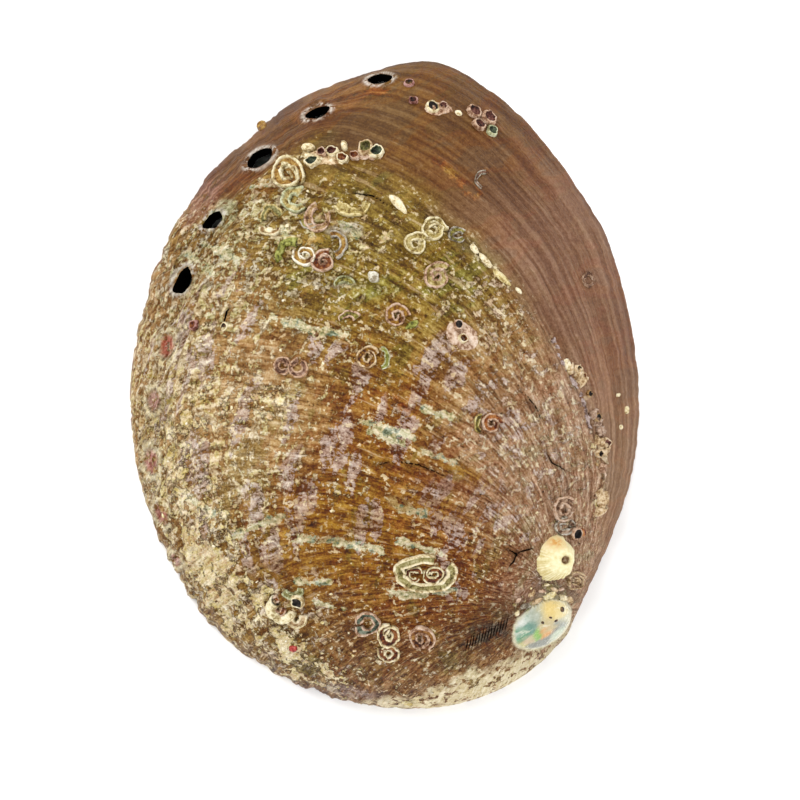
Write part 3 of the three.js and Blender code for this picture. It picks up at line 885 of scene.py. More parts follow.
def shell_fields(p):
    """What the material reads at each point of the outside."""
    cover = Cover(p)
    return {
        "growth": np.stack([p.band, p.cord, np.zeros_like(p.age)], axis=1),
        "ground": ground_colour(p),
        "paint": painted(p),
        "old": p.aged(),
        "wear": wear(p),
        "pale": zoned(p, WORN_COLOURS),
        "crust": cover.crust,
        # The fine relief's height, which darkens its valleys and lightens its ridges a little: painted shade
        # and highlight.
        "raised": np.clip(0.5 + (cords(p) + lamellae(p) - 0.1 + roughness(p)) / 0.7, 0, 1),
        "lilac": cover.lilac,
        "green": cover.green,
        "pearl": smoothstep(spire_edge(p), 1.05, 0.98),
        "flow": spire_flow(p),
    }


class Graph:
    """The nodes of a material or of the surroundings, with one short call for each."""

    def __init__(self, owner, shader="Principled BSDF"):
        owner.use_nodes = True
        self.owner, self.tree = owner, owner.node_tree
        self.shader = self.tree.nodes[shader]

    def node(self, kind, inputs, output=0, **settings):
        node = self.tree.nodes.new("ShaderNode" + kind)
        for name, value in settings.items():
            setattr(node, name, value)
        for key, value in inputs.items():
            self.feed(node.inputs[key], value)
        return node.outputs[output]

    def feed(self, socket, value):
        if isinstance(value, bpy.types.NodeSocket):
            self.tree.links.new(value, socket)
        else:
            socket.default_value = value

    def shade(self, inputs):
        """Gives the shader its values, and hands back what it belongs to."""
        for name, value in inputs.items():
            self.feed(self.shader.inputs[name], value)
        return self.owner

    def field(self, name, output="Fac"):
        return self.node("Attribute", {}, output, attribute_name=name)

    def place(self):
        return self.node("TexCoord", {}, "Object")

    def scaled(self, vector, factors):
        return self.node("VectorMath", {0: vector, 1: factors}, operation="MULTIPLY")

    def math(self, operation, a, b=0.0, c=0.0):
        return self.node("Math", {0: a, 1: b, 2: c}, operation=operation)

    def both(self, a, b):
        return self.math("MULTIPLY", a, b)

    def weighted(self, *terms):
        """The sum of some values, each times its weight."""
        total = 0.0
        for value, weight in terms:
            total = self.math("MULTIPLY_ADD", value, weight, total)
        return total

    def noise(self, vector, scale, detail, roughness=0.5, distortion=0.0):
        inputs = {"Vector": vector, "Scale": scale, "Detail": detail, "Roughness": roughness}
        return self.node("TexNoise", inputs | {"Distortion": distortion}, "Fac")

    def grain(self, vector, scale, detail=3.0):
        """Noise spread from 0 to 1."""
        return self.ramp(self.noise(vector, scale, detail, 0.65), 0.3, 0.7)

    def cells(self, vector):
        """Flat cells: a number for each, and the distance from its edge."""
        inputs = {"Vector": vector, "Scale": 1.0}
        edge = self.node("TexVoronoi", inputs, "Distance", feature="DISTANCE_TO_EDGE")
        return self.node("TexVoronoi", inputs, "Color"), edge

    def hues(self, value, colours, softness=0.04):
        """Patches of some colours, one for each band of the value."""
        mixed = colours[0]
        for n, colour in enumerate(colours[1:], 1):
            start = 0.2 + 0.6 * n / len(colours)
            mixed = self.mix(self.ramp(value, start, start + softness), mixed, colour)
        return mixed

    def warped(self, vector, place, scale, amount):
        """A vector pushed about by noise."""
        push = self.node("TexNoise", {"Vector": place, "Scale": scale, "Detail": 3.0}, "Color")
        push = self.node("VectorMath", {0: push, 1: (0.5, 0.5, 0.5)}, operation="SUBTRACT")
        return self.node("VectorMath", {0: push, 1: (amount,) * 3, 2: vector}, operation="MULTIPLY_ADD")

    def ramp(self, value, low, high):
        inputs = {"Value": value, "From Min": low, "From Max": high}
        return self.node("MapRange", inputs, interpolation_type="SMOOTHSTEP")

    def covered(self, noise, cover, softness):
        """Where noise passes a threshold that lets through about as much as cover says."""
        raised = self.math("MULTIPLY_ADD", cover, 0.5, -0.25)
        return self.ramp(self.math("ADD", noise, raised), 0.5 - softness, 0.5 + softness)

    def mix(self, factor, a, b, blend="MIX"):
        return self.node("Mix", {0: factor, 6: a, 7: b}, 2, data_type="RGBA", blend_type=blend)

    def toned(self, colour, tone, strength):
        """A colour made lighter and greyer where the tone is high, darker and richer where it is low."""
        power = self.math("POWER", math.e, self.both(self.math("SUBTRACT", 0.5, tone), strength))
        return self.node("Gamma", {"Color": colour, "Gamma": power})

    def bump(self, height, distance, strength):
        return self.node("Bump", {"Height": height, "Distance": distance, "Strength": strength})


def new_material(name):
    return Graph(bpy.data.materials.new(name))


class Outside(Graph):
    """The shell's outside: threads of growth with a pale veil, flakes, moss, crust and specks over them."""

    def __init__(self):
        super().__init__(bpy.data.materials.new("shell_outside"))
        self.here, self.old = self.place(), self.field("old")
        self.growth = self.field("growth", "Vector")
        self.dust = self.grain(self.here, 2500, 2)
        self.grit = self.grain(self.here, 1300)
        self.blotch = self.grain(self.here, 500, 4)
        threads = self.mix(self.old, self.along(70, 3, 3, 0.6), self.along(48, 14, 4, 0.7))
        self.threads = self.ramp(threads, 0.35, 0.65)
        self.drift = self.ramp(self.along(3, 8, 4, 0.6), 0.28, 0.72)
        fine = (self.threads, 0.4), (self.dust, 0.2), (self.grit, 0.22)
        # The relief's height darkens its valleys and lightens its ridges a little: painted shade and
        # highlight.
        self.tone = self.weighted(*fine, (self.blotch, 0.1), (self.field("raised"), 0.08))
        old_grit = self.both(self.grit, self.old)
        self.rise = self.weighted((self.threads, 0.7), (old_grit, 0.4), (self.dust, 0.15))
        self.colour = self.ground()

    def along(self, by_age, by_angle, detail, roughness=0.65):
        """Noise drawn out along the growth."""
        return self.noise(self.scaled(self.growth, (by_age, by_angle, 1)), 1, detail, roughness)

    def ground(self):
        older = self.hues(self.drift, (CHESTNUT, RUST, ORANGE, RUST, OCHRE, CHESTNUT, OLIVE), 0.1)
        newest = self.hues(self.drift, (BROWN, GOLD_BROWN, RED_BROWN, CHESTNUT, GREY_BROWN), 0.12)
        hues = self.mix(self.old, newest, older)
        share = self.weighted((self.ramp(self.field("wear"), 0.6, 0.42), 0.28), (self.old, 0.1))
        colour = self.mix(share, self.field("ground", "Color"), hues)
        return self.toned(colour, self.tone, self.weighted((self.old, 1.03), (1.0, 0.72)))

    def lay(self, cover, tint, contrast):
        """Covers the colour so far with a mottled tint."""
        self.colour = self.mix(cover, self.colour, self.toned(tint, self.tone, contrast))

    def shade_round(self, wide, narrow, strength):
        """Painted shadow in the gap round something that lies on the shell."""
        self.lay(self.both(self.math("SUBTRACT", wide, narrow), strength), DARK_BROWN, 1.0)

    def veil(self):
        """Worn, paler shell in ragged patches."""
        ragged = self.weighted((self.noise(self.here, 650, 4, 0.7), 0.6), (self.along(8, 36, 4, 0.7), 0.4))
        wear = self.field("wear")
        lies = self.covered(ragged, wear, 0.012)
        self.shade_round(self.covered(ragged, self.math("ADD", wear, 0.06), 0.012), lies, 0.3)
        patches = self.ramp(self.noise(self.here, 350, 3), 0.3, 0.7)
        hues = self.hues(patches, (LILAC, BUFF, SEA_GREEN, YELLOW_CREAM, STRAW, PINK_TAN), 0.06)
        self.lay(self.both(lies, 0.72), self.mix(0.5, self.field("pale", "Color"), hues), 2.4)
        self.rise = self.math("MULTIPLY_ADD", lies, 0.6, self.rise)

    def hairlines(self):
        """Dark and pale hairlines along the growth."""
        lines = self.along(50, 10, 2, 0.6)
        dark = self.ramp(lines, 0.39, 0.36)
        self.lay(self.both(dark, self.weighted((self.old, 0.35), (1.0, 0.08))), DARK_BROWN, 1.0)
        pale = self.ramp(lines, 0.62, 0.65)
        self.lay(self.both(pale, self.weighted((self.old, 0.34), (1.0, 0.06))), BUFF, 1.5)

    def flakes(self):
        net = self.warped(self.scaled(self.growth, (7, 30, 1)), self.here, 900, 0.6)
        number, edge = self.cells(net)
        chosen = self.math("SUBTRACT", self.field("lilac"), self.ramp(number, 0.15, 0.85))
        lies = self.both(self.ramp(chosen, 0.01, 0.05), self.ramp(edge, 0.02, 0.05))
        worn = self.weighted((self.grit, 0.4), (self.blotch, 0.3), (self.threads, 0.3))
        narrow = self.both(lies, self.ramp(worn, 0.36, 0.42))
        self.shade_round(self.both(lies, self.ramp(worn, 0.28, 0.32)), narrow, 0.5)
        self.lay(self.both(narrow, 0.72), self.mix(self.both(self.blotch, 0.5), LILAC, PINK_TAN), 2.2)

    def moss(self):
        fine, broad = self.noise(self.here, 900, 5, 0.75), self.noise(self.here, 300, 2)
        ragged = self.weighted((fine, 0.65), (broad, 0.35))
        lies = self.covered(ragged, self.both(self.field("green"), 0.68), 0.012)
        tint = self.mix(self.ramp(self.blotch, 0.12, 0.36), TEAL, self.mix(self.grit, SEA_GREEN, CREAM))
        self.lay(self.both(lies, 0.78), tint, 2.2)

    def crust(self):
        ragged = self.weighted((self.noise(self.here, 330, 6, 0.7), 0.65), (self.along(12, 24, 4, 0.7), 0.35))
        cover = self.both(self.field("crust"), 0.72)
        lies = self.covered(ragged, cover, 0.01)
        wide = self.covered(ragged, self.math("ADD", cover, 0.06), 0.01)
        self.shade_round(self.both(wide, self.ramp(cover, 0.1, 0.25)), lies, 0.6)
        tint = self.hues(self.blotch, (YELLOW_CREAM, CREAM, BUFF, CREAM, YELLOW_CREAM, BUFF))
        self.lay(self.both(lies, 0.92), tint, 1.9)
        self.rise = self.math("ADD", lies, self.rise)

    def specks(self):
        clumps = self.both(self.ramp(self.blotch, 0.35, 0.65), self.old)
        strokes = self.weighted((self.along(30, 30, 2), 0.5), (self.noise(self.here, 1300, 2), 0.5))
        lies = self.both(self.both(self.ramp(strokes, 0.56, 0.585), clumps), 0.8)
        self.lay(lies, self.mix(self.drift, BUFF, CREAM), 1.2)
        # Dark specks: painted shade in small pits.
        pit_shade = self.both(self.ramp(self.noise(self.here, 1000, 4, 0.75), 0.37, 0.345), self.old)
        unworn = self.ramp(self.field("wear"), 0.57, 0.47)
        self.lay(self.both(pit_shade, self.weighted((unworn, 0.6), (1.0, 0.3))), DARK_BROWN, 1.0)

    def paint(self):
        paint = self.field("paint", "Color")
        worn = self.ramp(self.weighted((self.grit, 0.3), (self.blotch, 0.7)), 0.32, 0.4)
        lies = self.math("MAXIMUM", self.both(paint.node.outputs["Alpha"], worn), self.field("pearl"))
        self.lay(lies, paint, self.weighted((self.field("pearl"), -1.0), (1.0, 1.5)))

    def pearl(self):
        """Streaks of light in the worn mother of pearl."""
        streaks = self.noise(self.field("flow", "Vector"), 1.3, 5, 0.65)
        light = self.both(self.field("pearl"), self.ramp(streaks, 0.55, 0.64))
        dark = self.both(self.field("pearl"), self.ramp(streaks, 0.42, 0.34))
        self.colour = self.mix(self.both(light, 0.55), self.colour, PEARL_GLINT)
        self.colour = self.mix(self.both(dark, 0.25), self.colour, PEARL_SHADE)

    def finish(self):
        pearl = self.field("pearl")
        rise = self.both(self.rise, self.math("SUBTRACT", 1.0, pearl))
        return self.shade({
            "Base Color": self.colour,
            "Roughness": self.weighted((self.grit, 0.2), (pearl, -0.3), (1.0, 0.42)),
            "Specular IOR Level": self.weighted((pearl, 0.35), (1.0, 0.13)),
            "Normal": self.bump(rise, 0.0003, 0.9),
        })


def outside_material():
    outside = Outside()
    layers = (outside.veil, outside.hairlines, outside.flakes, outside.moss, outside.crust, outside.specks,
              outside.paint, outside.pearl)
    for layer in layers:
        layer()
    return outside.finish()


def painted_shade_material():
    """Near-black painted shade, on the walls of the open holes and in the dark lines of the cracks and pleats.
    """
    return new_material("near_black_shade").shade({"Base Color": HOLE_SHADE, "Specular IOR Level": 0.0})


def nacre_material():
    """The mother of pearl that lines the hollow."""
    g = new_material("mother_of_pearl")
    swirl = g.noise(g.place(), 38, 4, 0.6, 1.8)
    wash = g.noise(g.place(), 16, 2, 0.5, 0.8)
    colour = g.mix(g.ramp(swirl, 0.3, 0.55), NACRE_GREEN, NACRE_SILVER)
    colour = g.mix(g.ramp(swirl, 0.52, 0.72), colour, NACRE_ROSE)
    colour = g.mix(g.ramp(wash, 0.55, 0.75), colour, NACRE_BLUE)
    bump = g.bump(swirl, 0.0006, 0.4)
    return g.shade({"Base Color": colour, "Roughness": 0.22, "Coat Weight": 0.4, "Normal": bump})


def growths_material():
    """Limy tubes and flakes in the colour that each one has, dirty in patches."""
    g = new_material("limy_growths")
    grit, blotch = g.grain(g.place(), 1900), g.grain(g.place(), 600, 4)
    rings = g.grain(g.field("along", "Vector"), 2.2, 2)
    tone = g.weighted((grit, 0.4), (rings, 0.15), (blotch, 0.45))
    colour = g.toned(g.field("tint", "Color"), tone, 1.7)
    dirt = g.ramp(g.weighted((blotch, 0.65), (grit, 0.35)), 0.4, 0.28)
    colour = g.mix(g.both(dirt, 0.5), colour, g.mix(1.0, colour, SAND, "MULTIPLY"))
    bump = g.bump(tone, 0.0002, 0.8)
    return g.shade({"Base Color": colour, "Roughness": 0.48, "Specular IOR Level": 0.25, "Normal": bump})


def build_shell():
    points, _, p = outer_net()
    p.move_to(points)
    hollow = inner_net()
    start = len(points)
    faces = [net_faces(OUTER_CELLS), net_faces(INNER_CELLS)[:, ::-1] + start]
    faces.append(rim_faces(net_edge(OUTER_CELLS), net_edge(INNER_CELLS) + start))
    every = np.concatenate([points, hollow])
    whole = new_mesh("shell", every, np.concatenate(faces))
    for material in (outside_material(), nacre_material(), painted_shade_material()):
        whole.materials.append(material)
    lining = np.zeros(sum(map(len, faces)), np.int32)
    lining[len(faces[0]):] = NACRE
    whole.polygons.foreach_set("material_index", lining)
    mesh = with_holes(whole)
    mesh.shade_smooth()
    mesh.set_sharp_from_angle(angle=SHARP_BEND)
    corners = np.zeros(len(mesh.vertices) * 3)
    mesh.vertices.foreach_get("co", corners)
    source = nearest(corners.reshape(-1, 3), every * MM)
    for name, values in shell_fields(p).items():
        lined = np.zeros((len(hollow), *values.shape[1:]))
        set_field(mesh, name, np.concatenate([values, lined])[source])
    return new_object("shell_body", mesh)


# Worm tubes that have lost their roofs: place, half width and half height, first angle and sweep in degrees,
# how far the coil closes in, the tube's width in pixels, the colour of its walls and of its floor
COILS = [
    ((424, 570), (27, 14), 70, 320, 0.94, 9, CREAM, CHANNEL),
    ((413, 572), (7, 6), 20, 300, 0.8, 5, WALL_CREAM, RED_BROWN),
    ((433, 571), (9, 7), 150, 430, 0.5, 6, WALL_CREAM, RED_BROWN),
    ((298, 612), (8, 9), 190, 170, 1, 7, CREAM, BUFF),
    ((281, 603), (6, 7), 100, 240, 1, 6, PINK_TAN, RED_BROWN),
    ((294, 586), (9, 7), 200, 170, 1, 6.5, SEA_GREEN, DEEP_OLIVE),
    ((368, 620), (9, 8), 200, 340, 1, 6.5, PINK_TAN, DIM_TEAL),
    ((390, 631), (9, 9), 90, 450, 0.45, 7.5, CREAM, RED_BROWN),
    ((389, 649), (8, 7), 150, 380, 0.6, 6.5, CREAM, RED_BROWN),
    ((420, 635), (11, 11), -60, 480, 0.4, 7.5, PINK_TAN, CHESTNUT),
    ((289, 178), (12, 12), -30, 500, 0.5, 9, WALL_CREAM, OCHRE),
    ((297, 203), (10, 9), 60, 260, 1, 8, SEA_GREEN, STRAW),
    ((273, 220), (9, 9), 10, 190, 1, 7.5, STRAW, DEEP_OLIVE),
    ((272, 229), (8, 6), 180, 170, 1, 6, CREAM, SAND),
    ((320, 221), (11, 12), 100, 290, 0.85, 7, PINK_TAN, SAND),
    ((353, 205), (16, 11), 195, 160, 1, 8, YELLOW_CREAM, STRAW),
    ((307, 258), (9, 8), 150, 430, 0.4, 7, PALE_CREAM, OCHRE),
    ((325, 264), (10, 9), 60, 450, 0.35, 7.5, PINK_TAN, RED_BROWN),
    ((335, 247), (10, 11), -80, 190, 1, 7, GREY, OCHRE),
    ((433, 233), (10, 10), 0, 480, 0.4, 7.5, WALL_CREAM, STRAW),
    ((415, 247), (9, 8), 30, 380, 0.7, 7, WALL_CREAM, STRAW),
    ((436, 279), (11, 11), 40, 540, 0.3, 7.5, PINK_TAN, STRAW),
    ((396, 318), (9, 9), 0, 400, 0.5, 7, PINK_TAN, RUST),
    ((368, 359), (9, 9), 20, 420, 0.5, 7, BUFF, RUST),
    ((382, 359), (6, 9), -90, 180, 1, 5, SEA_GREEN, LEAF),
    ((285, 367), (6, 6), 0, 330, 0.9, 5.5, ROSE_SAND, MAUVE_BROWN),
    ((300, 369), (7, 7), 90, 330, 0.9, 5.5, ROSE_SAND, MAUVE_BROWN),
    ((490, 423), (8, 8), 0, 400, 0.5, 6.5, PINK_TAN, ORANGE),
    ((479, 424), (4, 7), 90, 180, 1, 5, STRAW, OLIVE),
    ((561, 508), (8, 10), 30, 400, 0.7, 7.5, PINK_TAN, SAND_BROWN),
    ((563, 525), (8, 7), 100, 300, 0.8, 6.5, GREY, SAND_BROWN),
    ((574, 580), (7, 7), 30, 400, 0.6, 6.5, BUFF, SAND_BROWN),
    ((587, 281), (5, 6), 0, 330, 1, 3.5, SAND_BROWN, MAUVE_BROWN),
    ((483, 183), (8, 8), 80, 170, 1, 3.5, GREY, MAUVE_BROWN),
    ((456, 238), (7, 5), 30, 300, 1, 5.5, GREY, OLIVE),
    ((345, 288), (8, 6), 20, 150, 1, 6, SEA_GREEN, OLIVE),
    ((312, 222), (8, 8), 190, 120, 1, 5, GREY, OLIVE),
    ((350, 322), (8, 6), 20, 160, 1, 6, PINK_TAN, OLIVE),
]

# Whole tubes: the same, with the colour of the mouth, mostly dark as painted shade inside the tube
TUBES = [
    ((298, 258), (17, 15), 85, 115, 1, 9, LEAF, DEEP_OLIVE),
    ((294, 247), (8, 6), 10, 130, 1, 6, STRAW, OCHRE),
    ((284, 605), (11, 10), 120, 220, 1, 12, WALL_CREAM, CAVITY_SHADE),
]

# Broken tubes that stand upright: place, radius in pixels, height in millimetres and colours of the rim and of
# the inside, which is dark as painted shade of the cavity
CUPS = [
    ((313, 165), 5.5, 1.2, CREAM, DEEP_GREEN), ((323, 157), 3.5, 1.1, PINK_TAN, DEEP_RED),
    ((333, 156), 4.5, 1.3, CREAM, DEEP_RED), ((343, 162), 4, 0.9, CREAM, RED_BROWN),
    ((366, 152), 5, 1.1, BUFF, DEEP_OLIVE), ((377, 156), 5, 1.1, CREAM, DEEP_GREEN),
    ((355, 159), 3.5, 0.7, PINK_TAN, RED_BROWN), ((473, 114), 5, 0.9, PINK_TAN, DEEP_RED),
    ((488, 120), 6, 1.0, PINK_TAN, DEEP_RED), ((478, 127), 4.5, 0.9, PINK_TAN, DEEP_RED),
    ((491, 133), 4, 0.7, SEA_GREEN, DEEP_GREEN), ((432, 110), 5, 0.8, CREAM, CAVITY_SHADE),
    ((442, 109), 3.5, 0.7, PINK_TAN, DEEP_RED), ((413, 103), 3, 0.5, PINK, DEEP_RED),
    ((409, 85), 3.5, 0.5, PINK, DARK_BROWN), ((457, 326), 3.5, 0.7, PINK_TAN, CAVITY_SHADE),
    ((461, 340), 3, 1.2, CREAM, RED_BROWN), ((276, 599), 2.5, 0.9, BUFF, CAVITY_SHADE),
    ((299, 598), 4.5, 0.9, CREAM, CAVITY_SHADE), ((575, 370), 3, 0.9, BUFF, CAVITY_SHADE),
    ((580, 377), 3, 0.9, BUFF, RED_BROWN), ((595, 417), 3, 0.6, SAND, CAVITY_SHADE),
    ((603, 443), 4.5, 0.9, BUFF, DEEP_RED), ((596, 453), 2.5, 0.8, BUFF, CAVITY_SHADE),
    ((602, 498), 3.5, 0.8, BUFF, CAVITY_SHADE), ((573, 532), 4.5, 0.9, PINK_TAN, CAVITY_SHADE),
    ((197, 326), 3.5, 0.5, PINK, RED_BROWN), ((587, 394), 2.5, 0.6, SAND, CAVITY_SHADE),
    ((227, 328), 3, 0.4, CREAM, DARK_BROWN),
]

# Flakes and dots: place, length and width in pixels, turn in degrees, height in millimetres and colour
FLAKES = [
    ((397, 206), (26, 9), -47, 0.4, CREAM), ((473, 251), (13, 6), -50, 0.4, CREAM),
    ((484, 263), (20, 7), -48, 0.5, CREAM), ((500, 279), (26, 7), -42, 0.5, YELLOW_CREAM),
    ((517, 292), (10, 5), -45, 0.3, CREAM), ((458, 115), (8, 5), -30, 0.4, CREAM),
    ((309, 151), (15, 9), 15, 0.9, CREAM), ((345, 149), (8, 10), 0, 0.9, CREAM),
    ((374, 279), (13, 12), 0, 0.8, WHITE_LIME), ((412, 326), (15, 7), 30, 0.4, LEAF),
    ((262, 126), (13, 8), 35, 0.6, OCHRE), ((193, 421), (8, 7), 0, 0.5, YELLOW_CREAM),
    ((461, 337), (34, 25), -25, 0.2, ROSE_LIME), ((270, 233), (12, 6), 0, 0.5, CREAM),
    ((566, 366), (7, 15), 15, 0.5, CREAM), ((294, 646), (9, 7), 0, 0.4, RED),
    ((580, 532), (9, 8), 0, 0.5, ORANGE), ((437, 110), (26, 14), -12, 0.2, PINK_TAN),
    ((328, 160), (42, 16), 0, 0.2, BUFF), ((368, 156), (28, 10), 0, 0.2, PINK_TAN),
    ((617, 395), (4, 4), 0, 0.3, CREAM), ((626, 410), (5, 8), 0, 0.3, CREAM),
    ((620, 427), (4, 5), 0, 0.3, CREAM), ((548, 594), (15, 6), 20, 0.4, YELLOW_CREAM),
    ((561, 597), (12, 6), -10, 0.4, CREAM), ((535, 599), (13, 5), 25, 0.3, BUFF),
    ((524, 604), (10, 5), 30, 0.3, GREY), ((541, 589), (9, 5), 0, 0.3, PINK_TAN),
    ((553, 588), (8, 4), -20, 0.3, BUFF), ((569, 599), (7, 8), -30, 0.4, BUFF),
    ((530, 592), (8, 4), 30, 0.3, BUFF), ((517, 598), (7, 4), 40, 0.3, PINK_TAN),
    ((545, 583), (6, 3), 10, 0.3, CREAM), ((560, 588), (6, 4), 0, 0.3, PINK_TAN),
    ((516, 611), (7, 4), 50, 0.3, CREAM), ((527, 608), (9, 4), 35, 0.3, SEA_GREEN),
    ((561, 608), (4, 5), 0, 0.1, GOLD_BROWN), ((550, 616), (3, 2), 0, 0.1, BROWN),
    ((542, 621), (3, 3), 0, 0.1, DARK_BROWN), ((555, 619), (4, 2), 40, 0.1, BROWN),
]

# Ridges of broken tubes: the places each one runs through, its width in pixels and its colour
ROPES = [
    ([(563, 363), (574, 371), (584, 383)], 15, BUFF),
    ([(590, 410), (596, 422), (600, 434)], 11, GREY_SAND),
    ([(593, 440), (602, 447), (600, 458)], 15, BUFF), ([(600, 463), (602, 472), (601, 482)], 7, PINK_TAN),
    ([(597, 489), (602, 499), (599, 511)], 12, BUFF),
    ([(551, 340), (560, 364), (569, 379), (581, 400), (587, 428)], 5, LILAC),
    ([(304, 158), (322, 163), (344, 166)], 7, CREAM), ([(354, 162), (368, 160), (381, 160)], 6, PINK_TAN),
    ([(472, 250), (486, 264), (506, 283)], 4, CREAM),
]

# Dark lines of painted shade between the pleats beside the spire: the first and last one's place, and how many
# there are
PLEATS = ((466, 641), (505, 621), 14)

# The sides of a tube, and how wide its far end is as a share of its mouth
TUBE_SIDES, TUBE_TAPER = 10, 0.75

# The section of a broken tube: how far across and up each point is, as shares of its radius, and whether it is
# on the floor
GUTTER = np.array([
    (-1.08, -0.8, 0), (-1.02, 0.3, 0), (-0.86, 0.62, 0), (-0.6, 0.5, 0), (-0.44, 0.05, 1),
    (0.44, 0.05, 1), (0.6, 0.5, 0), (0.86, 0.62, 0), (1.02, 0.3, 0), (1.08, -0.8, 0),
])


def ring_section(height=1.0):
    t = full_turn(TUBE_SIDES)
    return np.stack([np.cos(t), height * np.sin(t)], axis=1)


def swept(points, normals, radii, section):
    """A section swept along points, and the direction of the path at each."""
    path = unit(np.gradient(points, axis=0))
    side = unit(np.cross(path, normals))
    up = np.cross(side, path)
    section = np.broadcast_to(section, (len(points), *section.shape[-2:]))
    shape = section[..., 0, None] * side[:, None] + section[..., 1, None] * up[:, None]
    return points[:, None] + radii[:, None, None] * shape, path


def uneven(steps, seed, size, amount):
    """Numbers about 1 that change little from one step to the next."""
    t = np.arange(steps) / size
    return 1 + amount * clouds(t, np.full(steps, seed), np.full(steps, 0.5), 73, 3)


def round_noise(t, scale, seed, layer=0.0, octaves=2):
    """Noise round a ring, which meets itself."""
    return clouds(np.cos(t) * scale, np.sin(t) * scale, np.full(len(t), layer), seed, octaves)


def coil_path(at, size, first, sweep, closing):
    t = np.linspace(0, 1, max(16, int(sweep / 7)))
    angle = np.radians(first + sweep * t)
    wobble = clouds(np.cos(angle) * 1.2 + at[0], np.sin(angle) * 1.2 + at[1], t * 2, 72, 2)
    share = (1 + (closing - 1) * t) * (1 + 0.15 * wobble)
    right, up = size[0] * share * np.cos(angle), size[1] * share * np.sin(angle)
    return np.stack([at[0] + right, at[1] - up], axis=1)


def add_coil(heap, at, size, first, sweep, closing, wide, tint, floor):
    """A tube without its roof: two thin broken walls and the floor between them."""
    points, normals = on_shell(coil_path(at, size, first, sweep, closing))
    steps, half = len(points), len(GUTTER) // 2
    radii = 0.6 * wide * SCALE * np.linspace(1, TUBE_TAPER, steps) * uneven(steps, at[0], 6, 0.26)
    section = np.tile(GUTTER[:, :2], (steps, 1, 1))
    section[:, 1:half - 1, 1] *= uneven(steps, at[1], 3, 0.6)[:, None]
    section[:, half + 1:-1, 1] *= uneven(steps, at[1] + 9, 3, 0.6)[:, None]
    rings, _ = swept(points + normals * (0.35 * radii)[:, None], normals, radii, section)
    tints = np.tile(np.where(GUTTER[:, 2:] > 0, floor, tint), (steps, 1))
    heap.add(rings, tint=tints, along=np.repeat(np.arange(steps) * 0.5, len(GUTTER)))


def add_tube(heap, at, size, first, sweep, closing, wide, tint, inside):
    """A whole tube with an open mouth."""
    points, normals = on_shell(coil_path(at, size, first, sweep, closing))
    steps = len(points)
    radii = wide / 2 * SCALE * np.linspace(1, TUBE_TAPER, steps) * uneven(steps, at[0], 6, 0.1)
    rings, path = swept(points + normals * (0.2 * radii)[:, None], normals, radii, ring_section())
    mouth = rings[:1]
    middle = mouth.mean(axis=1, keepdims=True)
    deep, shallow = (
        middle + (mouth - middle) * share + path[0] * radii[0] * depth
        for share, depth in ((0.45, 1.6), (0.62, 0.1))
    )
    # The mouth's inner rings take the inside colour, dark as painted shade inside the tube.
    tints = np.repeat([inside, inside] + [tint] * steps, TUBE_SIDES, axis=0)
    along = np.repeat(np.append([0, 0], np.arange(steps) * 0.6), TUBE_SIDES)
    heap.add(np.concatenate([deep, shallow, rings]), tint=tints, along=along)


def resampled(stops, spacing):
    """Places at even spaces along a broken line."""
    stops = np.array(stops, float)
    lengths = np.append(0, np.cumsum(np.hypot(*np.diff(stops, axis=0).T)))
    asked = np.linspace(0, lengths[-1], max(3, int(lengths[-1] / spacing)))
    return np.stack([np.interp(asked, lengths, stops[:, i]) for i in (0, 1)], axis=1)


def add_rope(heap, stops, wide, tint):
    """A lumpy, broken ridge along a line."""
    places = resampled(stops, 1.6)
    steps = len(places)
    places[:, 0] += 14 * (uneven(steps, stops[0][0], 5, 0.12) - 1)
    points, normals = on_shell(places)
    radii = wide / 2 * SCALE * np.clip(uneven(steps, stops[0][1], 2.5, 0.7), 0.15, 1.6)
    rings, _ = swept(points - normals * 0.1, normals, radii, ring_section(0.6))
    bulges = clouds(*np.moveaxis(rings * 1.6, -1, 0), 75, 2)
    rings = rings + normals[:, None] * 0.4 * bulges[..., None]
    heap.add(rings, tint=tint, along=np.repeat(np.arange(steps) * 0.5, TUBE_SIDES))


def local_axes(normal):
    """Two directions in the surface, the first to the right in the picture."""
    right = unit(np.array([1.0, 0, 0]) - normal[0] * normal)
    return right, np.cross(normal, right)


def ring_about(axis, t, radius, height, stretch=1.0):
    """Points round an axis at these radii and heights."""
    right, up = local_axes(axis)
    level = np.outer(radius * np.cos(t), right) + np.outer(radius * stretch * np.sin(t), up)
    return level + np.outer(height, axis)


# A cup's half section: share of its radius, share of its height, and whether the point is inside
CUP_SECTION = [
    (1.6, -0.6, 0), (1.45, 0.4, 0), (1.3, 0.92, 0), (1.1, 1.0, 0),
    (0.98, 0.85, 1), (0.88, 0.45, 1), (0.6, 0.25, 1),
]


def add_cup(heap, at, radius, height, tint, inside, seed, sides=22):
    points, normals = on_shell([at])
    t = full_turn(sides)
    chips = 0.22 * round_noise(t, 1.4, 71, seed * 3.7)
    rings, tints = [], []
    for out, level, is_inside in CUP_SECTION:
        r = radius * SCALE * out * (1 + chips)
        h = height * (level + chips * (level > 0.5))
        rings.append(points[0] + ring_about(normals[0], t, r, h))
        # The inside of the cup takes the inside colour, dark as painted shade of its cavity.
        tints += [inside if is_inside else tint] * sides
    heap.add(rings, tint=tints, along=radius)


# A flake's half section: share of its size and share of its height
FLAKE_SECTION = [(1.0, -0.5), (0.93, 0.35), (0.7, 0.85), (0.35, 1.0)]


